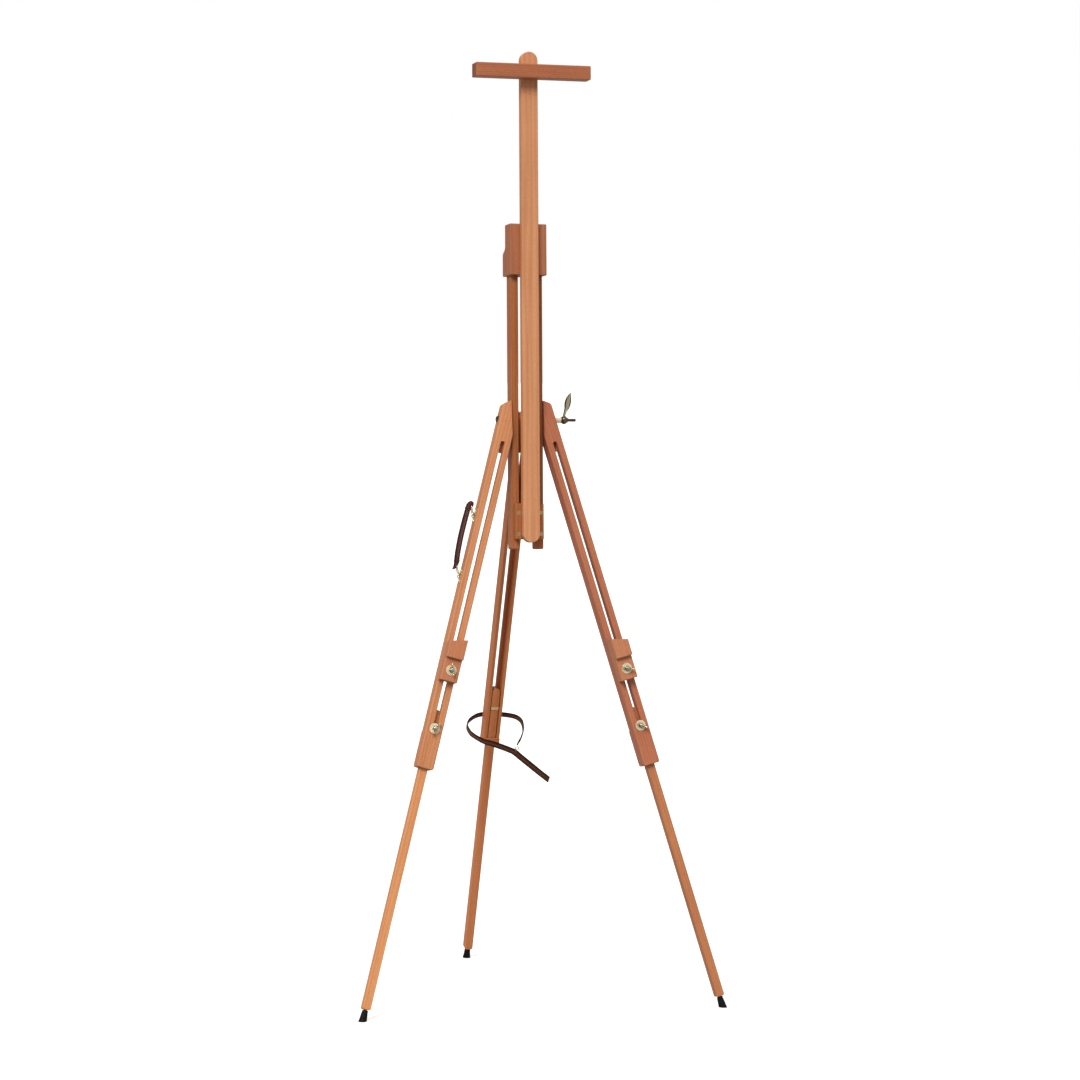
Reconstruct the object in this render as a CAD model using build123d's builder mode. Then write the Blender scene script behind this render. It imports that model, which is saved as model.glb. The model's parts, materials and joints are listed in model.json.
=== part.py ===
# Tripod field easel in beech: two front legs, a rear leg and a mast frame that all hang on one
# tilt bolt with a lever nut.  Millimetres, +Z up, -Y is the painter's side, feet on Z = 0.
import os
from math import cos, radians, sin

from build123d import *

os.makedirs("parts", exist_ok=True)

# ---------------------------------------------------------------- driving dimensions
PIVOT_HEIGHT = 1195.0  # tilt bolt above the floor
PIVOT_Y = -49.0  # tilt bolt, from the middle of the footprint
MAST_LEAN = 6.0  # degrees, top leans back
FRONT_LEAN = 11.5  # degrees, plane of the two front legs
SPLAY = 15.6  # degrees, each front leg outwards
REAR_LEAN = 16.0  # degrees, rear leg backwards

RUN = 0.05  # radial clearance of a running fit
FIT = 0.02  # radial clearance of a tight fit
SLIP = 0.3  # gap between wooden faces that slide
EASE = 1.2  # eased edge of planed beech

RAIL_INNER = 18.0
RAIL_OUTER = 34.0
RAIL_DEPTH = 30.0
RAIL_TOP = 334.0
RAIL_BOTTOM = -268.0

MAST_WIDTH = 36.0
MAST_FRONT = -45.0
MAST_BACK = -27.5
MAST_TOP = 757.0
MAST_BOTTOM = -255.0

TONGUE_DEPTH = 8.0
TONGUE_NECK = 10.0
TONGUE_BACK = 16.0
TONGUE_TOP = 685.0
TONGUE_BOTTOM = -240.0

HEAD_WIDTH = 78.0
HEAD_TOP = 403.0
HEAD_BOTTOM = 297.0
HEAD_FRONT = -31.5
HEAD_BACK = 26.0  # lower, deeper half
HEAD_THIN_BACK = 8.0  # upper half, behind which the clamp knob sits
CHANNEL_DEPTH = 3.8  # mast runs this deep in the head and guide blocks

GUIDE_WIDTH = 60.0
GUIDE_TOP = -174.0
GUIDE_BOTTOM = -248.0

CROSSBAR_LENGTH = 246.0
CROSSBAR_TOP = 727.0
CROSSBAR_HEIGHT = 28.5
CROSSBAR_DEPTH = 32.0

BOLT_R = 3.0
SLEEVE_R = 5.0
SEAT_X = 58.0  # flat seat cut in the slanted outer face of each leg
WASHER_R = 8.0
WASHER_T = 1.5
SPACER_LENGTH = 17.0
HUB_LENGTH = 15.5
BOLT_END = 109.0

LEG_WIDTH = 35.0
LEG_FRONT = -22.0  # local y of the front face, the bolt axis is 0
LEG_BACK = 8.0
LEG_LIP = 10.0  # thickness of the slotted front wall
LEG_AXIS_X = 41.8  # where the leg's middle line meets the bolt axis
LEG_HEAD_UP = 37.0
HEAD_DROP = 6.0  # how far the head's top slopes down to its outer shoulder
LEG_LENGTH = 745.0
HEAD_GAP_X = RAIL_OUTER + SLIP  # upright inner face of the leg head
SLOT_WIDTH = 9.0
SLOT_TOP = 50.0
SLOT_END = 670.0
CHANNEL_WIDTH = 17.6
CHANNEL_TOP = 70.0
LEG_ROUND = 4.0  # rounded corners at the lower end

EXT_WIDTH = 17.0
EXT_FRONT = -11.5
EXT_BACK = 7.2
EXT_TOP = 622.0  # distance of its top below the pivot, along the leg
EXT_BOLT = 662.0
FOOT_LENGTH = 22.0

SUPPORT_WIDTH = 36.0
SUPPORT_TOP = 479.0
SUPPORT_LEDGE_H = 38.0
SUPPORT_LEDGE_D = 32.0
SUPPORT_PLATE_D = 22.0
SUPPORT_BOTTOM = 564.0
SUPPORT_BOLT = 541.0

REAR_WIDTH = 34.4
REAR_FRONT = -8.0  # the rear leg's channel is open to the front
REAR_BACK = 22.0
REAR_HEAD_UP = 14.0
REAR_LENGTH = 730.0
REAR_SLOT_END = 652.0
REAR_CHANNEL = 20.4
REAR_EXT_W = 17.0
REAR_EXT_FRONT = -7.2
REAR_EXT_BACK = 11.5
REAR_EXT_TOP = 603.0
REAR_BAR = 647.5

STUD_R = 3.0
STUD_EASE = 0.5
STUD_OUT = 15.0  # how far a stud stands in front of the wood
SCREW_R = 2.2
SCREW_HEAD_R = 4.0
SCREW_SLOT_WIDE = 1.0
SCREW_SLOT_DEEP = 0.8
KNOB_WASHER_R = 11.0
WASHER_EASE = 0.4
DISC_R = 7.0  # round plate that holds a stud in the wood
DISC_T = 2.5
FAR = 900.0  # past the end of any member


# ---------------------------------------------------------------- frames and shared shapes
def leaning_plane(degrees, splay=0.0, x_shift=0.0):
    """Plane whose z runs up a member that leans back, and out by a splay; y points to the rear."""
    lean = radians(degrees)
    turn = radians(splay)
    up = (0, sin(lean), cos(lean))
    x_dir = (cos(turn), sin(turn) * up[1], sin(turn) * up[2])
    z_dir = (-sin(turn), cos(turn) * up[1], cos(turn) * up[2])
    return Plane(origin=(x_shift, PIVOT_Y, PIVOT_HEIGHT), x_dir=x_dir, z_dir=z_dir)


MAST = leaning_plane(MAST_LEAN)
FRONT = leaning_plane(FRONT_LEAN)
REAR = leaning_plane(-REAR_LEAN)
LEGS = {
    "left": leaning_plane(FRONT_LEAN, -SPLAY, -LEG_AXIS_X),
    "right": leaning_plane(FRONT_LEAN, SPLAY, LEG_AXIS_X),
}
SIDE = {"left": -1, "right": 1}


def at(frame, x=0.0, y=0.0, z=0.0, facing="z"):
    """A plane at a point of a frame; facing is the frame direction its normal takes."""
    turns = {
        "z": (0, 0, 0),
        "front": (90, 0, 0),
        "back": (-90, 0, 0),
        "right": (0, 90, 0),
        "left": (0, -90, 0),
    }
    return Plane(frame.location * Location((x, y, z), turns[facing]))


def write(builder, name):
    builder.part.label = name
    export_step(builder.part, "parts/" + name + ".step")


def block(frame, x, y, z, ease=EASE):
    """A planed bar between two corners of a frame, given as (low, high) along x, y and z."""
    size = [high - low for low, high in (x, y, z)]
    middle = [(high + low) / 2 for low, high in (x, y, z)]
    with BuildPart(at(frame, *middle), mode=Mode.PRIVATE) as bar:
        Box(*size)
        if ease:
            chamfer(bar.edges(), ease)
    return bar.part


def rod(frame, x, y, z, radius, length, facing="z", hole=0.0, ease=0.0):
    """A round bar or tube that starts at a point of a frame and runs in a direction of it."""
    with BuildPart(mode=Mode.PRIVATE) as bar:
        with BuildSketch(at(frame, x, y, z, facing)):
            Circle(radius)
            if hole:
                Circle(hole, mode=Mode.SUBTRACT)
        extrude(amount=length)
        if ease:
            outer = [e for e in bar.edges().filter_by(GeomType.CIRCLE) if e.radius > radius - 0.01]
            chamfer(outer, ease)
    return bar.part


def wood_screws(frame, points, y_head, y_tip):
    """Countersunk slotted screws that enter from y_head towards y_tip, at (x, z) points."""
    way = 1 if y_tip > y_head else -1
    facing = "back" if way > 0 else "front"
    with BuildPart(mode=Mode.PRIVATE) as screws:
        for x, z in points:
            start = at(frame, x, y_head, z, facing)
            with BuildSketch(start):
                Circle(SCREW_HEAD_R)
            with BuildSketch(start.offset(SCREW_HEAD_R - SCREW_R)):
                Circle(SCREW_R)
            loft()
            add(rod(frame, x, y_head + way, z, SCREW_R, abs(y_tip - y_head) - 1, facing))
            wide = (z - SCREW_SLOT_WIDE / 2, z + SCREW_SLOT_WIDE / 2)
            deep = (y_head - SCREW_SLOT_DEEP, y_head + SCREW_SLOT_DEEP)
            slot = block(frame, (x - SCREW_HEAD_R - 1, x + SCREW_HEAD_R + 1), deep, wide, ease=0)
            add(slot, mode=Mode.SUBTRACT)
    return screws.part


def screw_holes(frame, points, y_head, y_tip):
    """The countersunk holes that wood_screws fill."""
    facing = "back" if y_tip > y_head else "front"
    with BuildPart(mode=Mode.PRIVATE) as holes:
        for x, z in points:
            start = at(frame, x, y_head, z, facing)
            with BuildSketch(start):
                Circle(SCREW_HEAD_R)
            with BuildSketch(start.offset(SCREW_HEAD_R - SCREW_R)):
                Circle(SCREW_R)
            loft()
            add(rod(frame, x, y_head, z, SCREW_R, abs(y_tip - y_head), facing))
    return holes.part


def rounded_end(frame, x, width, low, radius):
    """What a bar keeps when its two lower corners are rounded, as they are seen from the front."""
    with BuildPart(mode=Mode.PRIVATE) as keep:
        with BuildSketch(at(frame, x=x, y=FAR, z=low + FAR / 2, facing="front")):
            RectangleRounded(width, FAR, radius)
        extrude(amount=2 * FAR)
    return keep.part


# ---------------------------------------------------------------- pivot sleeve
with BuildPart() as pivot_sleeve:
    add(rod(MAST, -RAIL_OUTER, 0, 0, SLEEVE_R, 2 * RAIL_OUTER, "right", hole=BOLT_R + RUN))
write(pivot_sleeve, "pivot_sleeve")


# ---------------------------------------------------------------- mast frame
GROOVE_LONG = (107.0, 240.0)  # shallow groove in the outer face of each rail
GROOVE_ACROSS = (-10.0, -8.0)
GROOVE_DEPTH = 2.0
RAIL_ROUND = 4.0
GUIDE_SCREW_X = 24.0
GUIDE_SCREW_Z = (-193.0, -237.0)
GUIDE_SCREW_END = 6.0
guide_points = [(x, z) for x in (-GUIDE_SCREW_X, GUIDE_SCREW_X) for z in GUIDE_SCREW_Z]
guide_screws = (HEAD_FRONT, GUIDE_SCREW_END)

for name, side in SIDE.items():
    with BuildPart() as rail:
        inner, outer = sorted((side * RAIL_INNER, side * RAIL_OUTER))
        half = RAIL_DEPTH / 2
        add(block(MAST, (inner, outer), (-half, half), (RAIL_BOTTOM, RAIL_TOP)))
        width = RAIL_OUTER - RAIL_INNER
        rounded = rounded_end(MAST, (inner + outer) / 2, width, RAIL_BOTTOM, RAIL_ROUND)
        add(rounded, mode=Mode.INTERSECT)
        add(rod(MAST, -HEAD_WIDTH, 0, 0, SLEEVE_R + RUN, 2 * HEAD_WIDTH, "right"), mode=Mode.SUBTRACT)
        face = side * RAIL_OUTER
        deep = (face - GROOVE_DEPTH, face + GROOVE_DEPTH)
        add(block(MAST, deep, GROOVE_ACROSS, GROOVE_LONG, ease=0), mode=Mode.SUBTRACT)
        add(screw_holes(MAST, guide_points, *guide_screws), mode=Mode.SUBTRACT)
    write(rail, "rail_" + name)

TONGUE_GAP = 0.4


def tongue_profile(gap=0.0):
    """Dovetail section of the mast's tongue, drawn across the mast (x, y)."""
    neck = TONGUE_NECK / 2 + gap
    back = TONGUE_BACK / 2 + gap
    deep = MAST_BACK + TONGUE_DEPTH + gap
    Polyline((-neck, MAST_BACK), (neck, MAST_BACK), (back, deep), (-back, deep), close=True)


def mast_way(low, high):
    """The room that the mast and its tongue need in a block that guides them."""
    with BuildPart(mode=Mode.PRIVATE) as way:
        wide = MAST_WIDTH / 2 + TONGUE_GAP
        add(block(MAST, (-wide, wide), (MAST_FRONT, MAST_BACK + 0.2), (low - 1, high + 1), ease=0))
        with BuildSketch(at(MAST, z=low - 1)):
            with BuildLine():
                tongue_profile(TONGUE_GAP)
            make_face()
        extrude(amount=high - low + 2)
    return way.part


CLAMP_Z = 378.0  # height of the mast clamp screw above the pivot
CLAMP_R = 4.0
INSERT_R = 6.5
INSERT_FRONT = MAST_BACK + TONGUE_DEPTH + TONGUE_GAP
CURVE_LOW = 338.0  # the block's back curves in between these two heights
CURVE_HIGH = 360.0
BLOCK_ROUND = 2.5
BLOCK_EASE = 1.0

with BuildPart() as head_block:
    with BuildSketch(at(MAST, x=-HEAD_WIDTH / 2, facing="right")) as head_side:
        # local x of this plane runs down the mast, local y to the rear
        with BuildLine():
            Polyline(
                (-CURVE_HIGH, HEAD_THIN_BACK),
                (-HEAD_TOP, HEAD_THIN_BACK),
                (-HEAD_TOP, HEAD_FRONT),
                (-HEAD_BOTTOM, HEAD_FRONT),
                (-HEAD_BOTTOM, HEAD_BACK),
                (-CURVE_LOW, HEAD_BACK),
            )
            Spline(
                (-CURVE_LOW, HEAD_BACK),
                (-CURVE_HIGH, HEAD_THIN_BACK),
                tangents=((-1, 0), (-1, 0)),
            )
        make_face()
    extrude(amount=HEAD_WIDTH)
    fillet(head_block.edges().filter_by(Axis.X), BLOCK_ROUND)
    chamfer(head_block.faces().sort_by(Axis.X)[0].edges(), BLOCK_EASE)
    chamfer(head_block.faces().sort_by(Axis.X)[-1].edges(), BLOCK_EASE)
    add(mast_way(HEAD_BOTTOM, HEAD_TOP), mode=Mode.SUBTRACT)
    for side in SIDE.values():
        inner, outer = sorted((side * RAIL_INNER, side * RAIL_OUTER))
        half = RAIL_DEPTH / 2 + RUN
        wide = (inner - RUN, outer + RUN)
        room = block(MAST, wide, (-half, half), (HEAD_BOTTOM - 1, RAIL_TOP), ease=0)
        add(room, mode=Mode.SUBTRACT)
    add(rod(MAST, 0, MAST_BACK, CLAMP_Z, INSERT_R, 2 * RAIL_DEPTH, "back"), mode=Mode.SUBTRACT)
write(head_block, "head_block")

with BuildPart() as clamp_insert:
    length = HEAD_THIN_BACK - INSERT_FRONT
    add(rod(MAST, 0, INSERT_FRONT, CLAMP_Z, INSERT_R, length, "back", hole=CLAMP_R + RUN))
write(clamp_insert, "clamp_insert")

with BuildPart() as lower_guide_block:
    half = GUIDE_WIDTH / 2
    add(block(MAST, (-half, half), (HEAD_FRONT, -RAIL_DEPTH / 2), (GUIDE_BOTTOM, GUIDE_TOP)))
    add(mast_way(GUIDE_BOTTOM, GUIDE_TOP), mode=Mode.SUBTRACT)
    add(screw_holes(MAST, guide_points, *guide_screws), mode=Mode.SUBTRACT)
write(lower_guide_block, "lower_guide_block")

with BuildPart() as lower_guide_screws:
    add(wood_screws(MAST, guide_points, *guide_screws))
write(lower_guide_screws, "lower_guide_screws")


# ---------------------------------------------------------------- mast and crossbar
CROSSBAR_SCREW_X = 9.0
CROSSBAR_SCREW_END = -66.0
crossbar_middle = CROSSBAR_TOP - CROSSBAR_HEIGHT / 2
crossbar_points = [(x, crossbar_middle) for x in (-CROSSBAR_SCREW_X, CROSSBAR_SCREW_X)]
crossbar_screws_y = (MAST_BACK, CROSSBAR_SCREW_END)

with BuildPart() as mast_bar:
    with BuildSketch(at(MAST, y=MAST_BACK, z=(MAST_TOP + MAST_BOTTOM) / 2, facing="front")):
        SlotOverall(MAST_TOP - MAST_BOTTOM, MAST_WIDTH, rotation=90)
    extrude(amount=MAST_BACK - MAST_FRONT)
    chamfer(mast_bar.faces().filter_by(Axis((0, 0, 0), MAST.y_dir)).edges(), EASE)
    add(screw_holes(MAST, crossbar_points, *crossbar_screws_y), mode=Mode.SUBTRACT)
write(mast_bar, "mast_bar")

with BuildPart() as mast_tongue:
    with BuildSketch(at(MAST, z=TONGUE_BOTTOM)):
        with BuildLine():
            tongue_profile()
        make_face()
    extrude(amount=TONGUE_TOP - TONGUE_BOTTOM)
write(mast_tongue, "mast_tongue")

with BuildPart() as crossbar:
    half = CROSSBAR_LENGTH / 2
    depth = (MAST_FRONT - CROSSBAR_DEPTH, MAST_FRONT)
    add(block(MAST, (-half, half), depth, (CROSSBAR_TOP - CROSSBAR_HEIGHT, CROSSBAR_TOP)))
    add(screw_holes(MAST, crossbar_points, *crossbar_screws_y), mode=Mode.SUBTRACT)
write(crossbar, "crossbar")

with BuildPart() as crossbar_screws:
    add(wood_screws(MAST, crossbar_points, *crossbar_screws_y))
write(crossbar_screws, "crossbar_screws")


# ---------------------------------------------------------------- wing nuts and studs
WING_HUB_R = 5.4
WING_HUB_TOP_R = 4.5
WING_HUB_H = 9.0
WING_REACH = 10.5
WING_LOBE_R = 4.0
WING_LOBE_UP = 8.0
WING_THICK = 1.4  # half of an ear's thickness
WING_ROOT = (2.5, 4.0)
WING_ROOT_SIZE = (3.0, 5.0)
CLAMP_WING_SCALE = 1.25
CLAMP_WING_GAP = 1.2


def wing(frame, x, y, z, facing, turn, scale_up=1.0, hole=0.0):
    """A two-eared wing nut whose base sits at a point of a frame, turned about its axis."""
    base = Plane(at(frame, x, y, z, facing).location * Location((0, 0, 0), (0, 0, turn)))
    with BuildPart(mode=Mode.PRIVATE) as nut:
        with BuildSketch(base):
            Circle(WING_HUB_R * scale_up)
        with BuildSketch(base.offset(WING_HUB_H * scale_up)):
            Circle(WING_HUB_TOP_R * scale_up)
        loft()
        with BuildSketch(Plane(base.location * Location((0, 0, 0), (90, 0, 0)))):
            for way in (-1, 1):
                with BuildSketch(mode=Mode.PRIVATE) as ear:
                    with Locations((way * WING_REACH * scale_up, WING_LOBE_UP * scale_up)):
                        Circle(WING_LOBE_R * scale_up)
                    with Locations((way * WING_ROOT[0] * scale_up, WING_ROOT[1] * scale_up)):
                        Rectangle(WING_ROOT_SIZE[0] * scale_up, WING_ROOT_SIZE[1] * scale_up)
                    make_hull()
                add(ear.sketch)
        extrude(amount=WING_THICK * scale_up, both=True)
        if hole:
            with BuildSketch(base.offset(-1)):
                Circle(hole)
            extrude(amount=WING_HUB_H * scale_up + 3, mode=Mode.SUBTRACT)
    return nut.part


with BuildPart() as mast_clamp_screw:
    wing_base = HEAD_THIN_BACK + CLAMP_WING_GAP
    add(wing(MAST, 0, wing_base, CLAMP_Z, "back", 0, scale_up=CLAMP_WING_SCALE))
    tip = INSERT_FRONT + 2 * RUN
    add(rod(MAST, 0, tip, CLAMP_Z, CLAMP_R, wing_base + 2 - tip, "back"))
write(mast_clamp_screw, "mast_clamp_screw")


# ---------------------------------------------------------------- tilt bolt and its lever nut
LEVEL = leaning_plane(0)
HEAD_T = 2.6
HEAD_R = 7.0
SPACER_R = 6.2

with BuildPart() as tilt_bolt:
    start = -SEAT_X - WASHER_T
    add(rod(LEVEL, start - HEAD_T, 0, 0, BOLT_R, BOLT_END - start + HEAD_T, "right", ease=0.5))
    add(rod(LEVEL, start - HEAD_T, 0, 0, HEAD_R, HEAD_T, "right", ease=1.0))
write(tilt_bolt, "tilt_bolt")

with BuildPart() as tilt_bolt_washer:
    add(rod(LEVEL, start, 0, 0, WASHER_R, WASHER_T, "right", hole=BOLT_R + RUN))
write(tilt_bolt_washer, "tilt_bolt_washer")

with BuildPart() as lever_washer:
    add(rod(LEVEL, SEAT_X, 0, 0, WASHER_R, WASHER_T, "right", hole=BOLT_R + RUN))
write(lever_washer, "lever_washer")

spacer_start = SEAT_X + WASHER_T
with BuildPart() as lever_spacer:
    add(rod(LEVEL, spacer_start, 0, 0, SPACER_R, SPACER_LENGTH, "right", hole=BOLT_R + RUN))
write(lever_spacer, "lever_spacer")

HUB_R = 8.7
HUB_ROUND = 3.5
hub_start = spacer_start + SPACER_LENGTH
hub_x = hub_start + HUB_LENGTH / 2
LEAF_LENGTH = 57.0
LEAF_OUT = 14.5  # the leaf's tip stands this much further out than its root
LEAF_HALF = 7.5
LEAF_THICK = 2.0  # half of the leaf's thickness
STEM_HALF = 3.5
STEM_UP = (2.0, 14.0)

with BuildPart() as tilt_lever:
    with BuildSketch(at(LEVEL, x=hub_start, facing="right")):
        Circle(HUB_R)
    extrude(amount=HUB_LENGTH)
    fillet(tilt_lever.edges().filter_by(GeomType.CIRCLE), HUB_ROUND)
    with BuildSketch(at(LEVEL, x=hub_x, facing="front")):
        with BuildLine():
            Spline(
                (-STEM_HALF, STEM_UP[0]),
                (1 - STEM_HALF, STEM_UP[1]),
                (LEAF_OUT * 0.6 - LEAF_HALF, LEAF_LENGTH * 0.62),
                (LEAF_OUT - 3.0, LEAF_LENGTH - 1.5),
                (LEAF_OUT, LEAF_LENGTH),
            )
            Spline(
                (LEAF_OUT, LEAF_LENGTH),
                (LEAF_OUT + 0.6, LEAF_LENGTH - 7),
                (LEAF_OUT * 0.6 + LEAF_HALF, LEAF_LENGTH * 0.55),
                (1 + STEM_HALF, STEM_UP[1]),
                (STEM_HALF, STEM_UP[0]),
            )
            Line((STEM_HALF, STEM_UP[0]), (-STEM_HALF, STEM_UP[0]))
        make_face()
    extrude(amount=LEAF_THICK, both=True)
    with BuildSketch(at(LEVEL, x=hub_start - 1, facing="right")):
        Circle(BOLT_R + RUN)
    extrude(amount=HUB_LENGTH + 2, mode=Mode.SUBTRACT)
write(tilt_lever, "tilt_lever")


# ---------------------------------------------------------------- legs: shared pieces
SPIGOT_R = 4.0
FOOT_TOP_R = 6.25
FOOT_LOW_R = 8.25
EXT_END_GAP = 1.5  # bare wood between the foot and the round end of the bar
BAR_EASE = 0.8
BAR_ROUND = 3.5
SPIGOT_IN = 6.0  # depth of the spigot in the bar


def floor_distance(frame, y):
    """How far below the pivot a leg's own line, at local y, meets the floor."""
    return (PIVOT_HEIGHT + y * frame.y_dir.Z) / frame.z_dir.Z


def rounded_bar(frame, half, front, back, top, bottom):
    """A leg extension: square bar with a round top, eased lower corners and a spigot below."""
    middle = (front + back) / 2
    length = bottom - top
    with BuildPart(mode=Mode.PRIVATE) as bar:
        with BuildSketch(at(frame, y=back, z=-(top + bottom) / 2, facing="front")):
            SlotOverall(length, 2 * half, rotation=90)
            with Locations((0, -length / 4)):
                RectangleRounded(2 * half, length / 2, BAR_ROUND)
        extrude(amount=back - front)
        chamfer(bar.faces().filter_by(Axis((0, 0, 0), frame.y_dir)).edges(), BAR_EASE)
        add(rod(frame, 0, middle, -bottom - FOOT_LENGTH + SPIGOT_IN, SPIGOT_R, FOOT_LENGTH))
    return bar.part


def rubber_foot(frame, y, bottom):
    """A flared rubber tip over the spigot, cut flat where it stands on the floor."""
    length = floor_distance(frame, y) + 10 - bottom - EXT_END_GAP
    flare = (FOOT_LOW_R - FOOT_TOP_R) / FOOT_LENGTH
    with BuildPart(mode=Mode.PRIVATE) as foot:
        with BuildSketch(at(frame, y=y, z=-bottom - EXT_END_GAP)):
            Circle(FOOT_TOP_R)
        with BuildSketch(at(frame, y=y, z=-bottom - EXT_END_GAP - length)):
            Circle(FOOT_TOP_R + flare * length)
        loft()
        split(bisect_by=Plane.XY, keep=Keep.TOP)
        room = rod(frame, 0, y, -bottom - FOOT_LENGTH + SPIGOT_IN, SPIGOT_R + FIT, FOOT_LENGTH)
        add(room, mode=Mode.SUBTRACT)
    return foot.part


def stud_with_disc(frame, z, y_disc, y_end):
    """A threaded stud that points to the front, on a round disc whose front face is at y_disc."""
    y_back = y_disc + DISC_T
    with BuildPart(mode=Mode.PRIVATE) as stud:
        add(rod(frame, 0, y_back, z, DISC_R, DISC_T, "front"))
        add(rod(frame, 0, y_back, z, STUD_R, y_back - y_end, "front", ease=STUD_EASE))
    return stud.part


def knob_washer(frame, y, z):
    """The broad washer under a front wing nut."""
    return rod(frame, 0, y, z, KNOB_WASHER_R, WASHER_T, "front", hole=STUD_R + FIT, ease=WASHER_EASE)


# ---------------------------------------------------------------- front legs
leg_lean = radians(SPLAY)
EDGE_OUT = LEG_AXIS_X + LEG_WIDTH / 2 / cos(leg_lean)  # outer edge at bolt height
EDGE_RUN = sin(leg_lean) / cos(leg_lean)
SHOULDER_R = 9.0
BOLT_PLAY = 0.6
BOLT_WAY_FLARE = 0.9
SEAT_RISE = 2.5  # the seat is this much taller than its washer, which climbs as the leg folds in
BACK_PLATE_T = 4.0
WING_GAP = 0.1
EXT_WING_TURN = {"left": 68.0, "right": -42.0}  # degrees round the stud, as they were last done up
SUPPORT_WING_TURN = {"left": 112.0, "right": -29.0}
KEY_PLAY = 0.3
KEY_DEPTH = 8.0


def head_outline(side):
    """Front outline of a leg's head: upright against the rail, sloping top, rounded outer shoulder."""
    outer_z = LEG_HEAD_UP - HEAD_DROP
    top_x = EDGE_OUT - EDGE_RUN * outer_z
    with BuildPart(mode=Mode.PRIVATE) as outline:
        with BuildSketch(at(FRONT, y=60, facing="front")) as front:
            with BuildLine():
                Polyline(
                    (side * HEAD_GAP_X, -FAR),
                    (side * HEAD_GAP_X, LEG_HEAD_UP),
                    (side * top_x, outer_z),
                    (side * (top_x + EDGE_RUN * (FAR + outer_z)), -FAR),
                    close=True,
                )
            make_face()
            corner = at(FRONT, side * top_x, 60, outer_z).origin
            shoulder = front.vertices().sort_by_distance(corner)[0]
            fillet(shoulder, SHOULDER_R)
        extrude(amount=120)
    return outline.part


def bolt_way(side):
    """Flared slot that lets the leg rock on the tilt bolt, and the flat seat for its washer."""
    facing = "right" if side > 0 else "left"
    near = HEAD_GAP_X - 5
    far = SEAT_X + 12
    low = -BOLT_R - BOLT_PLAY
    high = BOLT_R + BOLT_WAY_FLARE
    high_far = high + (far - near) * EDGE_RUN
    half = BOLT_R + BOLT_PLAY
    with BuildPart(mode=Mode.PRIVATE) as way:
        with BuildSketch(at(FRONT, y=half, facing="front")):
            with BuildLine():
                corners = ((near, low), (near, high), (far, high_far), (far, low))
                Polyline(*[(side * x, z) for x, z in corners], close=True)
            make_face()
        extrude(amount=2 * half)
        for rise in (0, SEAT_RISE):
            add(rod(FRONT, side * SEAT_X, 0, rise, WASHER_R + BOLT_PLAY, LEG_WIDTH, facing))
    return way.part


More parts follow.
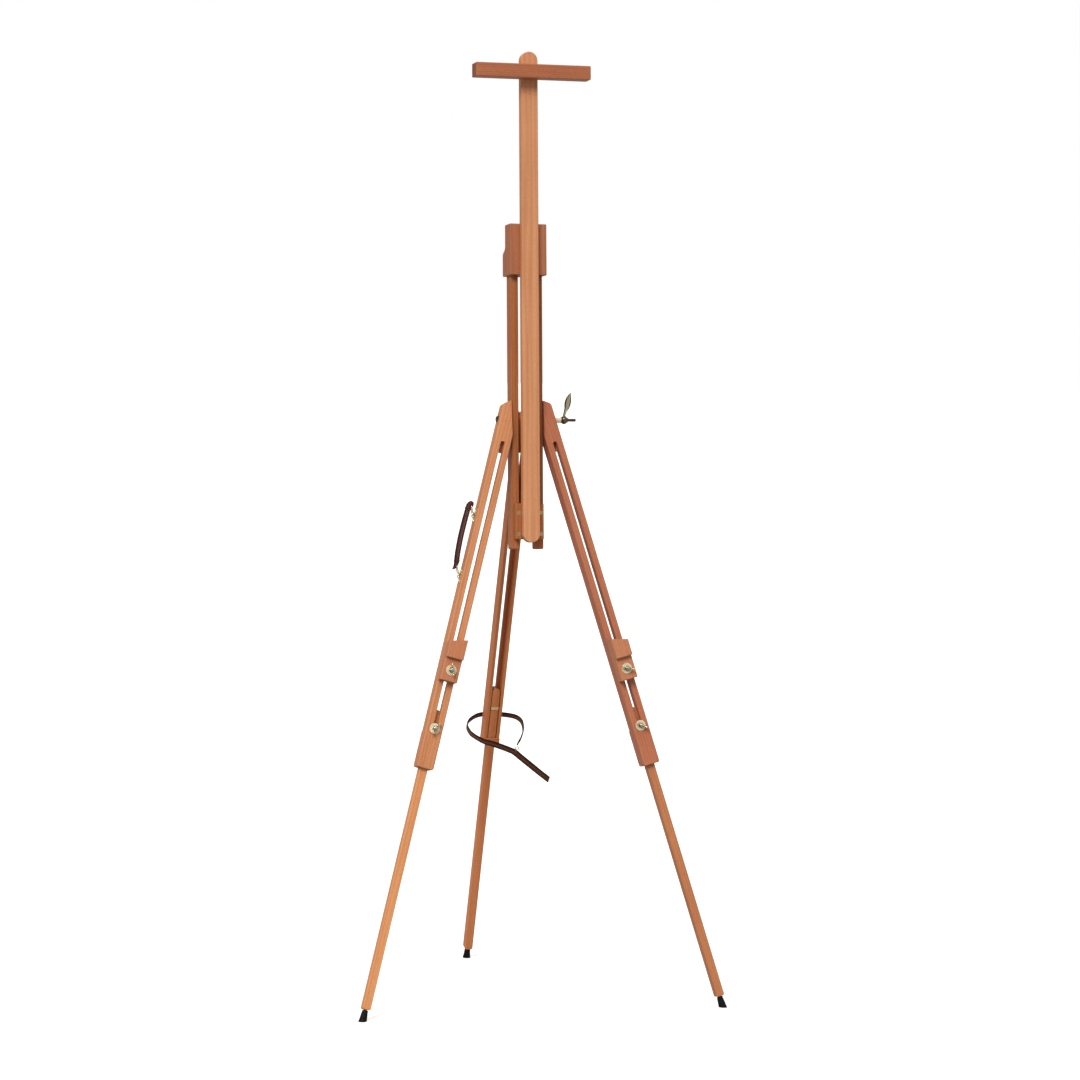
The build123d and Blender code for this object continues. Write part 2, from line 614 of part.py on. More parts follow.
for name, side in SIDE.items():
    leg = LEGS[name]
    label = "front_" + name + "_"
    half = LEG_WIDTH / 2
    slot_half = SLOT_WIDTH / 2

    with BuildPart() as leg_body:
        add(block(leg, (-half, half), (LEG_FRONT, LEG_BACK), (-LEG_LENGTH, 70)))
        add(rounded_end(leg, 0, LEG_WIDTH, -LEG_LENGTH, LEG_ROUND), mode=Mode.INTERSECT)
        add(head_outline(side), mode=Mode.INTERSECT)
        lip = LEG_FRONT + LEG_LIP
        with BuildSketch(at(leg, y=lip + 4, z=-(SLOT_TOP + SLOT_END) / 2, facing="front")):
            SlotOverall(SLOT_END - SLOT_TOP, SLOT_WIDTH, rotation=90)
        extrude(amount=2 * LEG_LIP, mode=Mode.SUBTRACT)
        wide = CHANNEL_WIDTH / 2
        room = block(leg, (-wide, wide), (lip, LEG_BACK + 1), (-FAR, -CHANNEL_TOP), ease=0)
        add(room, mode=Mode.SUBTRACT)
        add(bolt_way(side), mode=Mode.SUBTRACT)
    write(leg_body, label + "leg_body")

    with BuildPart() as back_plate:
        room = (LEG_BACK, LEG_BACK + BACK_PLATE_T)
        add(block(leg, (-half, half), room, (-LEG_LENGTH + 2, -SLOT_END + 2)))
    write(back_plate, label + "back_plate")

    ext_middle = (EXT_FRONT + EXT_BACK) / 2
    ext_bottom = floor_distance(leg, ext_middle) - FOOT_LENGTH - EXT_END_GAP
    disc_face = EXT_BACK - DISC_T - 0.5
    with BuildPart() as extension:
        add(rounded_bar(leg, EXT_WIDTH / 2, EXT_FRONT, EXT_BACK, EXT_TOP, ext_bottom))
        start = EXT_BACK + 1
        add(rod(leg, 0, start, -EXT_BOLT, STUD_R + FIT, FOOT_LENGTH, "front"), mode=Mode.SUBTRACT)
        disc_room = rod(leg, 0, start, -EXT_BOLT, DISC_R + FIT, start - disc_face, "front")
        add(disc_room, mode=Mode.SUBTRACT)
    write(extension, label + "extension")

    with BuildPart() as foot:
        add(rubber_foot(leg, ext_middle, ext_bottom))
    write(foot, label + "rubber_foot")

    with BuildPart() as ext_bolt:
        add(stud_with_disc(leg, -EXT_BOLT, disc_face, LEG_FRONT - STUD_OUT))
    write(ext_bolt, label + "extension_bolt")

    with BuildPart() as ext_washer:
        add(knob_washer(leg, LEG_FRONT - WING_GAP, -EXT_BOLT))
    write(ext_washer, label + "extension_washer")

    with BuildPart() as ext_wing:
        start = LEG_FRONT - 2 * WING_GAP - WASHER_T
        add(wing(leg, 0, start, -EXT_BOLT, "front", EXT_WING_TURN[name], hole=STUD_R + RUN))
    write(ext_wing, label + "extension_wing_nut")

    support_back = LEG_FRONT - SLIP
    plate_front = LEG_FRONT - SUPPORT_PLATE_D
    ledge_front = LEG_FRONT - SUPPORT_LEDGE_D
    ledge_low = SUPPORT_TOP + SUPPORT_LEDGE_H
    wide = SUPPORT_WIDTH / 2
    with BuildPart() as support:
        add(block(leg, (-wide, wide), (plate_front, support_back), (-SUPPORT_BOTTOM, -ledge_low + 5)))
        add(block(leg, (-wide, wide), (ledge_front, support_back), (-ledge_low, -SUPPORT_TOP + 20)))
        level = -SUPPORT_TOP * cos(leg_lean)
        above = block(FRONT, (-FAR, FAR), (-80, 40), (level, level + 60), ease=0)
        add(above, mode=Mode.SUBTRACT)
        key = slot_half - KEY_PLAY
        key_y = (support_back - 1, LEG_FRONT + KEY_DEPTH)
        key_z = (KEY_DEPTH - SUPPORT_BOTTOM, -SUPPORT_TOP - LEG_WIDTH / 3)
        add(block(leg, (-key, key), key_y, key_z))
        add(rod(leg, 0, 0, -SUPPORT_BOLT, STUD_R + FIT, 2 * LEG_WIDTH, "front"), mode=Mode.SUBTRACT)
    write(support, label + "canvas_support")

    with BuildPart() as support_bolt:
        disc_face = LEG_FRONT + LEG_LIP + SLIP
        add(stud_with_disc(leg, -SUPPORT_BOLT, disc_face, plate_front - STUD_OUT))
    write(support_bolt, label + "support_bolt")

    with BuildPart() as support_washer:
        add(knob_washer(leg, plate_front, -SUPPORT_BOLT))
    write(support_washer, label + "support_washer")

    with BuildPart() as support_wing:
        start = plate_front - WASHER_T - WING_GAP
        turn = SUPPORT_WING_TURN[name]
        add(wing(leg, 0, start, -SUPPORT_BOLT, "front", turn, hole=STUD_R + RUN))
    write(support_wing, label + "support_wing_nut")


# ---------------------------------------------------------------- carrying handle, on the left leg
HANDLE_X = -34.0
HANDLE_Y = -7.0
HANDLE_ENDS = (-329.0, -192.0)
HANDLE_THICK = 5.5  # half sizes of the leather
HANDLE_WIDE = 6.5
HANDLE_EASE = 3.0
EYE_X = -18.6
EYE_R = 6.0
EYE_WIRE = 1.2
LINK_WIRE = 1.1
LINK_HALF = 4.6
LINK_CORNER = 2.5
EYES_Z = (-214.0, -343.0)
LINK_RISE = 18.0
LINK_OUT = (-22.2, -31.0)
LINK_ROOM = 0.25
leg = LEGS["left"]


def link_path(eye_z):
    """Plane and size of a rectangular wire link that rises from an eye to the leather."""
    run = LINK_OUT[0] - LINK_OUT[1]
    length = (run**2 + LINK_RISE**2) ** 0.5
    half_way = Vector((LINK_OUT[0] + LINK_OUT[1]) / 2, HANDLE_Y, eye_z + LINK_RISE / 2)
    middle = leg.from_local_coords(half_way)
    along = leg.from_local_coords(Vector(-run, 0, LINK_RISE)) - leg.origin
    return Plane(origin=middle, x_dir=leg.y_dir, z_dir=along.cross(leg.y_dir)), length


def wire_link(eye_z, wire):
    """A closed rectangular link of round wire."""
    plane, length = link_path(eye_z)
    with BuildPart(mode=Mode.PRIVATE) as link:
        with BuildSketch(plane, mode=Mode.PRIVATE) as loop:
            RectangleRounded(2 * LINK_HALF, length, LINK_CORNER)
        path = loop.sketch.face().outer_wire()
        with BuildSketch(Plane(origin=path @ 0.1, z_dir=path % 0.1)):
            Circle(wire)
        sweep(path=path)
    return link.part


with BuildPart() as handle_leather:
    thick = (HANDLE_X - HANDLE_THICK, HANDLE_X + HANDLE_THICK)
    wide = (HANDLE_Y - HANDLE_WIDE, HANDLE_Y + HANDLE_WIDE)
    add(block(leg, thick, wide, HANDLE_ENDS, ease=HANDLE_EASE))
    for eye_z in EYES_Z:
        add(wire_link(eye_z, LINK_WIRE + LINK_ROOM), mode=Mode.SUBTRACT)
write(handle_leather, "handle_leather")

with BuildPart() as handle_links:
    for eye_z in EYES_Z:
        add(wire_link(eye_z, LINK_WIRE))
write(handle_links, "handle_links")

PLATE_HALF = 15.0
PLATE_WIDE = 4.0
PLATE_T = 1.5
plate_x = (-LEG_WIDTH / 2 - PLATE_T, -LEG_WIDTH / 2)
plate_y = (HANDLE_Y - PLATE_WIDE, HANDLE_Y + PLATE_WIDE)
with BuildPart() as handle_plates:
    for eye_z in EYES_Z:
        plate_z = (eye_z - PLATE_HALF, eye_z + PLATE_HALF)
        add(block(leg, plate_x, plate_y, plate_z, ease=RUN * 6))
        eye = at(leg, EYE_X, HANDLE_Y, eye_z)
        with BuildPart(mode=Mode.PRIVATE) as bow:
            with BuildSketch(eye):
                with Locations((-EYE_R, 0)):
                    Circle(EYE_WIRE)
            revolve(axis=Axis(eye.origin, leg.y_dir), revolution_arc=360)
            split(bisect_by=at(leg, x=EYE_X, facing="left"), keep=Keep.TOP)
        add(bow.part)
write(handle_plates, "handle_plates")


# ---------------------------------------------------------------- rear leg
REAR_BRIDGE = (-728.0, -716.0)
REAR_BRIDGE_T = 3.0
REAR_HEAD_ROUND = 12.0
BAR_Y = (REAR_EXT_FRONT - 1, REAR_EXT_FRONT + 4)
BAR_HALF = 8.2
BAR_TALL = 3.0  # half of the brass bar's height
REAR_WASHER_R = 13.0
STRAP_SCREW_X = 13.1
STRAP_SCREW_Z = -674.5
STRAP_SCREW_R = 1.5
STRAP_SCREW_HEAD_R = 3.4
STRAP_SCREW_IN = 8.0
STRAP_SLANT_ROOM = 2.0  # the strap crosses the screws at a slant
rear_half = REAR_WIDTH / 2
rear_deep = REAR_BACK - REAR_FRONT

with BuildPart() as rear_leg:
    add(block(REAR, (-rear_half, rear_half), (REAR_FRONT, REAR_BACK), (-REAR_LENGTH, REAR_HEAD_UP)))
    middle = (REAR_FRONT + REAR_BACK) / 2
    with BuildSketch(at(REAR, -rear_half, middle, (REAR_HEAD_UP - FAR) / 2, "right")):
        RectangleRounded(REAR_HEAD_UP + FAR, rear_deep, REAR_HEAD_ROUND)
    extrude(amount=REAR_WIDTH, mode=Mode.INTERSECT)
    lip = REAR_BACK - LEG_LIP
    with BuildSketch(at(REAR, y=lip - 4, z=-(SLOT_TOP + REAR_SLOT_END) / 2, facing="back")):
        SlotOverall(REAR_SLOT_END - SLOT_TOP, SLOT_WIDTH, rotation=90)
    extrude(amount=2 * LEG_LIP, mode=Mode.SUBTRACT)
    wide = REAR_CHANNEL / 2
    room = block(REAR, (-wide, wide), (REAR_FRONT - 1, lip), (-FAR, -CHANNEL_TOP), ease=0)
    add(room, mode=Mode.SUBTRACT)
    add(rod(REAR, -REAR_WIDTH, 0, 0, SLEEVE_R + RUN, 2 * REAR_WIDTH, "right"), mode=Mode.SUBTRACT)
    for x in (-STRAP_SCREW_X, STRAP_SCREW_X):
        start = REAR_BACK + STRAP_SCREW_IN
        hole = rod(REAR, x, start, STRAP_SCREW_Z, STRAP_SCREW_R, 2 * STRAP_SCREW_IN, "front")
        add(hole, mode=Mode.SUBTRACT)
write(rear_leg, "rear_leg_body")

with BuildPart() as rear_bridge:
    front = (REAR_FRONT - REAR_BRIDGE_T, REAR_FRONT)
    add(block(REAR, (-rear_half, rear_half), front, REAR_BRIDGE, ease=BAR_EASE))
write(rear_bridge, "rear_leg_bridge")

rear_middle = (REAR_EXT_FRONT + REAR_EXT_BACK) / 2
rear_bottom = floor_distance(REAR, rear_middle) - FOOT_LENGTH - EXT_END_GAP
with BuildPart() as rear_extension:
    add(rounded_bar(REAR, REAR_EXT_W / 2, REAR_EXT_FRONT, REAR_EXT_BACK, REAR_EXT_TOP, rear_bottom))
    tall = BAR_TALL + FIT
    bar_room = (BAR_Y[0] - BAR_TALL, BAR_Y[1] + FIT)
    bar_z = (-REAR_BAR - tall, -REAR_BAR + tall)
    add(block(REAR, (-rear_half, rear_half), bar_room, bar_z, ease=0), mode=Mode.SUBTRACT)
    stud_room = rod(REAR, 0, REAR_BACK, -REAR_BAR, STUD_R + FIT, 2 * rear_deep, "front")
    add(stud_room, mode=Mode.SUBTRACT)
write(rear_extension, "rear_extension")

with BuildPart() as rear_foot:
    add(rubber_foot(REAR, rear_middle, rear_bottom))
write(rear_foot, "rear_rubber_foot")

with BuildPart() as rear_bolt:
    bar_z = (-REAR_BAR - BAR_TALL, -REAR_BAR + BAR_TALL)
    add(block(REAR, (-BAR_HALF, BAR_HALF), BAR_Y, bar_z, ease=WASHER_EASE))
    start = BAR_Y[0] + 2
    add(rod(REAR, 0, start, -REAR_BAR, STUD_R, REAR_BACK + STUD_OUT - start, "back", ease=STUD_EASE))
write(rear_bolt, "rear_t_bolt")

with BuildPart() as rear_washer:
    start = REAR_BACK + WING_GAP
    washer = rod(REAR, 0, start, -REAR_BAR, REAR_WASHER_R, WASHER_T, "back", hole=STUD_R + FIT)
    add(washer)
write(rear_washer, "rear_washer")

with BuildPart() as rear_wing:
    start = REAR_BACK + 2 * WING_GAP + WASHER_T
    add(wing(REAR, 0, start, -REAR_BAR, "back", 0, hole=STUD_R + RUN))
write(rear_wing, "rear_wing_nut")


# ---------------------------------------------------------------- leather strap round the rear leg
STRAP_TILT = 32.0  # degrees, the loop hangs lower at the front
STRAP_WIDTH = 12.0
STRAP_T = 2.2
STRAP_STAND_OFF = 3.2  # gap between the strap and the leg, where the screws hold it
STRAP_BACK = 49.5  # from the middle of the loop to the back of the strap
STRAP_FRONT = -50.5  # from the middle of the loop to its front length
# the strap's middle line round the back, from its left front end to its right one: (x, y)
LOOP_LINE = (
    (-46.5, -47.6),
    (-55.0, -34.0),
    (-58.5, -18.0),
    (-59.0, 8.0),
    (-50.5, 26.5),
    (-34.0, 41.0),
    (-18.5, 47.3),
    (0.0, 48.9),
    (20.0, 47.5),
    (45.0, 42.1),
    (58.4, 35.1),
    (64.8, 23.0),
    (64.8, 8.0),
    (60.5, -12.0),
    (49.6, -34.5),
    (40.5, -47.0),
)
# the middle line of the front length, which ends in the free tail: (x, z)
FRONT_LINE = (
    (-52.0, 12.5),
    (-36.0, 6.5),
    (-13.6, -0.7),
    (7.6, -9.8),
    (37.0, -24.0),
    (54.8, -40.1),
    (90.1, -71.0),
    (129.0, -104.5),
)
TAIL_CUT_TURN = 64.0  # degrees, the slant of the tail's cut end
TAIL_CUT = (128.5, -106.0)
RING_X = 40.5  # the small ring that joins the two lengths
RING_Z = -13.0
RING_R = 5.0
RING_HOLE = 3.4
RING_T = 1.8

tilt = radians(STRAP_TILT)
strap_out = REAR_BACK + STRAP_T + STRAP_STAND_OFF
back_point = REAR.from_local_coords(Vector(0, strap_out, STRAP_SCREW_Z))
loop_back = Vector(0, cos(tilt), sin(tilt))
loop_origin = back_point - loop_back * STRAP_BACK
LOOP = Plane(origin=loop_origin, x_dir=(1, 0, 0), z_dir=(0, -sin(tilt), cos(tilt)))

with BuildPart() as strap:
    with BuildSketch(LOOP.offset(-STRAP_WIDTH / 2)):
        with BuildLine():
            Spline(*LOOP_LINE)
        trace(line_width=STRAP_T)
    extrude(amount=STRAP_WIDTH)
    for x in (-STRAP_SCREW_X, STRAP_SCREW_X):
        start = strap_out + rear_deep
        hole = rod(REAR, x, start, STRAP_SCREW_Z, STRAP_SCREW_R + SLIP, 2 * rear_deep, "front")
        add(hole, mode=Mode.SUBTRACT)
write(strap, "strap_loop")

with BuildPart() as strap_tail:
    with BuildSketch(at(LOOP, y=STRAP_FRONT + STRAP_T / 2, facing="front")):
        with BuildLine():
            Spline(*FRONT_LINE)
        trace(line_width=STRAP_WIDTH)
        with Locations(Location((*TAIL_CUT, 0), (0, 0, TAIL_CUT_TURN - 90))):
            Rectangle(FOOT_LENGTH, 3 * STRAP_WIDTH, align=(Align.MIN, Align.CENTER), mode=Mode.SUBTRACT)
    extrude(amount=STRAP_T)
write(strap_tail, "strap_tail")

with BuildPart() as strap_ring:
    start = STRAP_FRONT + RING_T / 2
    add(rod(LOOP, RING_X, start, RING_Z, RING_R, RING_T, "front", hole=RING_HOLE, ease=WASHER_EASE))
write(strap_ring, "strap_ring")

with BuildPart() as strap_screws:
    head = strap_out + STRAP_SLANT_ROOM
    length = head - REAR_BACK + STRAP_SCREW_IN
    for x in (-STRAP_SCREW_X, STRAP_SCREW_X):
        add(rod(REAR, x, head + 1, STRAP_SCREW_Z, STRAP_SCREW_R, length, "front"))
        add(rod(REAR, x, head, STRAP_SCREW_Z, STRAP_SCREW_HEAD_R, WASHER_T, "back", ease=STUD_EASE))
write(strap_screws, "strap_screws")
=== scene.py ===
# Looks of the tripod field easel: beech, brass, steel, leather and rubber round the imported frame.
# Metres, +Z up, -Y is the painter's side.
import json
import math
import random

import bmesh
import bpy
from mathutils import Matrix, Vector


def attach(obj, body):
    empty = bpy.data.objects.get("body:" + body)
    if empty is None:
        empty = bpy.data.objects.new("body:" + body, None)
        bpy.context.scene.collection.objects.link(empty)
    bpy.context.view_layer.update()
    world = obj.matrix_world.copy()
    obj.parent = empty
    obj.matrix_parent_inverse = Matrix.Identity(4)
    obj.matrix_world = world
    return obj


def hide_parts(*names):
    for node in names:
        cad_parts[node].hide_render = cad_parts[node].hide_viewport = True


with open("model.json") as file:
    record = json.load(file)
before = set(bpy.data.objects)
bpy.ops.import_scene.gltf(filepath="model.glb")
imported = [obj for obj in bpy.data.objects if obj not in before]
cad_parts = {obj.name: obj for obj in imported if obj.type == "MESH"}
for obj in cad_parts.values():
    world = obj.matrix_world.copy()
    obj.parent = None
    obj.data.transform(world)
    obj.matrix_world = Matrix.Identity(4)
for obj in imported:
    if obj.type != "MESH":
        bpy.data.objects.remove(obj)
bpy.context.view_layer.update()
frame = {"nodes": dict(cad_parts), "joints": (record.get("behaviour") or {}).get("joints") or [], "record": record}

MM = 0.001

# ---------------------------------------------------------------- camera
CAMERA_PLACE = (-2.1843, -7.3156, 1.5780)
CAMERA_PITCH = 85.24  # degrees from straight down
CAMERA_TURN = -17.01
CAMERA_ROLL = 1.42
CAMERA_LENS = 122.36  # mm on a 36 mm sensor


def make_camera():
    data = bpy.data.cameras.new("camera")
    data.lens = CAMERA_LENS
    data.sensor_width = 36.0
    data.clip_end = 100.0
    camera = bpy.data.objects.new("camera", data)
    bpy.context.scene.collection.objects.link(camera)
    turn = Matrix.Rotation(math.radians(CAMERA_TURN), 4, "Z")
    pitch = Matrix.Rotation(math.radians(CAMERA_PITCH), 4, "X")
    roll = Matrix.Rotation(math.radians(CAMERA_ROLL), 4, "Z")
    camera.matrix_world = Matrix.Translation(CAMERA_PLACE) @ turn @ pitch @ roll
    bpy.context.scene.camera = camera


# ---------------------------------------------------------------- light and floor
SKY_LOW = 0.16  # brightness of the soft light from the sides and from overhead
SKY_HIGH = 0.95
SUNS = (  # name, degrees round from the front, height, softness, strength, colour
    ("sun", -38.0, 38.0, 24.0, 2.55, (1.0, 0.975, 0.94)),
    ("fill", 62.0, 18.0, 40.0, 0.28, (1.0, 0.98, 0.96)),
    ("back", 165.0, 34.0, 40.0, 0.80, (1.0, 0.99, 0.98)),
)
FLOOR_SIZE = 60.0
FLOOR_SEEN = (0.90, 0.90, 0.90)
FLOOR_BOUNCE = (0.34, 0.335, 0.33)
FLOOR_GLOW = 0.16  # keeps the pale floor as white as the backdrop behind it


def make_world():
    world = bpy.data.worlds.new("studio")
    world.use_nodes = True
    nodes, links = world.node_tree.nodes, world.node_tree.links
    nodes.clear()
    out = nodes.new("ShaderNodeOutputWorld")
    lit = nodes.new("ShaderNodeBackground")
    lit.inputs["Color"].default_value = (1.0, 0.985, 0.96, 1)
    up = nodes.new("ShaderNodeSeparateXYZ")
    ways = nodes.new("ShaderNodeTexCoord")
    rise = nodes.new("ShaderNodeMapRange")
    for key, value in (("From Min", 0.0), ("From Max", 0.9), ("To Min", SKY_LOW), ("To Max", SKY_HIGH)):
        rise.inputs[key].default_value = value
    links.new(ways.outputs["Generated"], up.inputs[0])
    links.new(up.outputs["Z"], rise.inputs["Value"])
    links.new(rise.outputs[0], lit.inputs["Strength"])
    seen = nodes.new("ShaderNodeBackground")
    seen.inputs["Color"].default_value = (1, 1, 1, 1)
    pick = nodes.new("ShaderNodeMixShader")
    rays = nodes.new("ShaderNodeLightPath")
    links.new(rays.outputs["Is Camera Ray"], pick.inputs[0])
    links.new(lit.outputs[0], pick.inputs[1])
    links.new(seen.outputs[0], pick.inputs[2])
    links.new(pick.outputs[0], out.inputs[0])
    bpy.context.scene.world = world
    bpy.context.scene.view_settings.view_transform = "Standard"


def make_lights():
    """Broad soft suns: the main one from the front left, a weak fill and one for the back."""
    for name, around, height, soft, strength, colour in SUNS:
        data = bpy.data.lights.new(name, "SUN")
        data.angle = math.radians(soft)
        data.energy = strength
        data.color = colour
        light = bpy.data.objects.new(name, data)
        bpy.context.scene.collection.objects.link(light)
        around, height = math.radians(around), math.radians(height)
        ahead = math.cos(height)
        source = Vector((math.sin(around) * ahead, -math.cos(around) * ahead, math.sin(height)))
        light.rotation_euler = source.to_track_quat("Z", "Y").to_euler()


def make_floor():
    """A pale floor: white as it is seen, darker in the light that it sends back up."""
    mesh = bpy.data.meshes.new("floor")
    half = FLOOR_SIZE / 2
    corners = [(x * half, y * half, -0.0004) for x, y in ((-1, -1), (1, -1), (1, 1), (-1, 1))]
    mesh.from_pydata(corners, [], [(0, 1, 2, 3)])
    floor = bpy.data.objects.new("floor", mesh)
    bpy.context.scene.collection.objects.link(floor)
    paint = Paint("floor_white")
    rays = paint.node("LightPath").outputs["Is Camera Ray"]
    paint.set(colour=paint.mix(rays, FLOOR_BOUNCE, FLOOR_SEEN), roughness=0.9)
    paint.shader.inputs["Emission Color"].default_value = (1, 1, 1, 1)
    paint.feed(paint.shader.inputs["Emission Strength"], paint.math("MULTIPLY", rays, FLOOR_GLOW))
    mesh.materials.append(paint.material)


# ---------------------------------------------------------------- the members' own frames
JOINTS = {joint["name"]: joint for joint in frame["joints"]}
PIVOT = Vector(JOINTS["mast_tilt"]["pos_m"])
LEG_AXIS_X = 41.8 * MM


def member(along, to_back, origin):
    """Frame of a member: z up along it, y to its back, x to the right."""
    z = Vector(along).normalized()
    y = Vector(to_back).normalized()
    x = y.cross(z).normalized()
    y = z.cross(x)
    turned = Matrix((x, y, z)).transposed().to_4x4()
    return Matrix.Translation(origin) @ turned


def joint_axis(name, way=1):
    return Vector(JOINTS[name]["axis"]) * way


MAST = member(joint_axis("mast_slide"), joint_axis("mast_clamp_turn"), PIVOT)
REAR = member(joint_axis("rear_extension_slide", -1), joint_axis("rear_knob_turn"), PIVOT)
LEVEL = Matrix.Translation(PIVOT)
LEGS = {}
for side, way in (("left", -1), ("right", 1)):
    slide = joint_axis("front_" + side + "_extension_slide", -1)
    knob = joint_axis("front_" + side + "_extension_knob_turn", -1)
    LEGS[side] = member(slide, knob, PIVOT + Vector((way * LEG_AXIS_X, 0, 0)))


# ---------------------------------------------------------------- material nodes
class Paint:
    """A material with short calls for its nodes; shader is its Principled node."""

    def __init__(self, name):
        self.material = bpy.data.materials.new(name)
        self.material.use_nodes = True
        self.nodes = self.material.node_tree.nodes
        self.links = self.material.node_tree.links
        self.shader = self.nodes["Principled BSDF"]

    def node(self, kind, **settings):
        made = self.nodes.new("ShaderNode" + kind)
        for key, value in settings.items():
            setattr(made, key, value)
        return made

    def feed(self, socket, value):
        if isinstance(value, bpy.types.NodeSocket):
            self.links.new(value, socket)
        else:
            socket.default_value = value

    def place(self, turn=(0, 0, 0), scale=(1, 1, 1), shift=(0, 0, 0), of=None):
        made = self.node("Mapping")
        if of is None:
            of = self.node("TexCoord").outputs["Object"]
        self.feed(made.inputs["Vector"], of)
        made.inputs["Location"].default_value = shift
        made.inputs["Rotation"].default_value = turn
        made.inputs["Scale"].default_value = scale
        return made.outputs[0]

    def noise(self, of, scale, detail=3.0, rough=0.55, distort=0.0):
        made = self.node("TexNoise")
        self.feed(made.inputs["Vector"], of)
        made.inputs["Scale"].default_value = scale
        made.inputs["Detail"].default_value = detail
        made.inputs["Roughness"].default_value = rough
        made.inputs["Distortion"].default_value = distort
        return made.outputs[0]

    def ramp(self, of, *stops):
        """Stops are (position, value or colour)."""
        made = self.node("ValToRGB")
        self.feed(made.inputs[0], of)
        elements = made.color_ramp.elements
        while len(elements) < len(stops):
            elements.new(0.5)
        for element, (place, value) in zip(elements, stops):
            element.position = place
            element.color = (*value, 1) if isinstance(value, tuple) else (value, value, value, 1)
        return made.outputs[0]

    def math(self, operation, a, b=0.0, clamp=False):
        made = self.node("Math", operation=operation, use_clamp=clamp)
        self.feed(made.inputs[0], a)
        self.feed(made.inputs[1], b)
        return made.outputs[0]

    def mix(self, amount, a, b, blend="MIX"):
        made = self.node("Mix", data_type="RGBA", blend_type=blend)
        self.feed(made.inputs[0], amount)
        for socket, value in ((made.inputs[6], a), (made.inputs[7], b)):
            if isinstance(value, tuple):
                value = (*value, 1)
            self.feed(socket, value)
        return made.outputs[2]

    def mark(self, name):
        """A number that the mesh carries on its points."""
        return self.node("Attribute", attribute_name=name).outputs["Fac"]

    def edges(self, radius):
        """0 on flat faces and up to 1 on edges rounder than the radius."""
        bevel = self.node("Bevel", samples=4)
        bevel.inputs["Radius"].default_value = radius
        normal = self.node("NewGeometry").outputs["Normal"]
        dot = self.node("VectorMath", operation="DOT_PRODUCT")
        self.feed(dot.inputs[0], bevel.outputs[0])
        self.feed(dot.inputs[1], normal)
        return self.ramp(dot.outputs["Value"], (0.80, 1.0), (0.995, 0.0))

    def bump(self, height, distance, strength=1.0, normal=None):
        made = self.node("Bump")
        made.inputs["Strength"].default_value = strength
        made.inputs["Distance"].default_value = distance
        self.feed(made.inputs["Height"], height)
        if normal is not None:
            self.feed(made.inputs["Normal"], normal)
        return made.outputs[0]

    def set(self, **inputs):
        names = {"colour": "Base Color", "roughness": "Roughness", "normal": "Normal", "metallic": "Metallic",
                 "coat": "Coat Weight", "coat_roughness": "Coat Roughness", "sheen": "Sheen Weight",
                 "specular": "Specular IOR Level"}
        for key, value in inputs.items():
            if isinstance(value, tuple):
                value = (*value, 1)
            self.feed(self.shader.inputs[names[key]], value)
        return self.material


def wood(name, member_frame, light, dark, seed):
    """Oiled beech: streaks, growth rings and short flecks along the member, paler on its edges from wear and a
    painted highlight.
    """
    paint = Paint(name)
    rng = random.Random(seed)
    shift = tuple(rng.uniform(-3, 3) for _ in range(3))
    turn = member_frame.to_3x3().transposed().to_euler("XYZ")
    local = paint.place(turn=turn, shift=shift)
    streak_space = paint.place(of=local, scale=(1, 1, 0.035))
    fleck_space = paint.place(of=local, scale=(1, 1, 0.16))
    pith = paint.place(of=local, shift=tuple(-v for v in shift[:2]) + (0,))
    off_x, off_y = rng.uniform(0.05, 0.11), rng.uniform(0.03, 0.09)
    pith = paint.place(of=pith, shift=(off_x, off_y, 0), scale=(1, 1, 0.06))
    broad = paint.noise(streak_space, 95, detail=4, distort=0.35)
    fibre = paint.noise(streak_space, 900, detail=3, rough=0.7)
    drift = paint.noise(local, 5.5, detail=2)
    rings = paint.node("TexWave", wave_type="RINGS", rings_direction="Z")
    paint.feed(rings.inputs["Vector"], pith)
    for key, value in (("Scale", 62), ("Distortion", 4.5), ("Detail", 2), ("Detail Scale", 0.9)):
        rings.inputs[key].default_value = value
    flecks = paint.ramp(paint.noise(fleck_space, 1150, detail=1, rough=0.4), (0.60, 0.0), (0.69, 1.0))
    tone = paint.math("MULTIPLY", rings.outputs["Fac"], 0.16)
    tone = paint.math("ADD", tone, paint.math("MULTIPLY", broad, 0.50))
    tone = paint.math("ADD", tone, paint.math("MULTIPLY", fibre, 0.20))
    tone = paint.math("ADD", tone, paint.math("MULTIPLY", drift, 0.32))
    colour = paint.ramp(tone, (0.40, dark), (0.74, light))
    shade = tuple(c * 0.60 for c in dark)
    colour = paint.mix(paint.math("MULTIPLY", flecks, 0.42), colour, shade)
    grain = paint.node("VectorMath", operation="DOT_PRODUCT")
    paint.feed(grain.inputs[0], paint.node("TexCoord").outputs["Normal"])
    paint.feed(grain.inputs[1], member_frame.to_3x3() @ Vector((0, 0, 1)))
    across_grain = paint.ramp(paint.math("ABSOLUTE", grain.outputs["Value"]), (0.72, 0.0), (0.95, 0.75))
    colour = paint.mix(across_grain, colour, shade)
    # paler edges: wear, with a painted highlight
    edge = paint.edges(1.1 * MM)
    lightened = paint.math("MULTIPLY", edge, paint.ramp(paint.noise(local, 45), (0.38, 0.1), (0.70, 0.55)))
    colour = paint.mix(lightened, colour, tuple(min(1.0, c * 1.25) for c in light))
    rough = paint.ramp(fibre, (0.3, 0.40), (0.7, 0.56))
    height = paint.math("SUBTRACT", fibre, paint.math("MULTIPLY", flecks, 0.5))
    bevel = paint.node("Bevel", samples=4)
    bevel.inputs["Radius"].default_value = 0.9 * MM
    normal = paint.bump(height, 0.12 * MM, 0.6, bevel.outputs[0])
    paint.set(coat=0.04, coat_roughness=0.35, specular=0.30)
    return paint.set(colour=colour, roughness=rough, normal=normal)


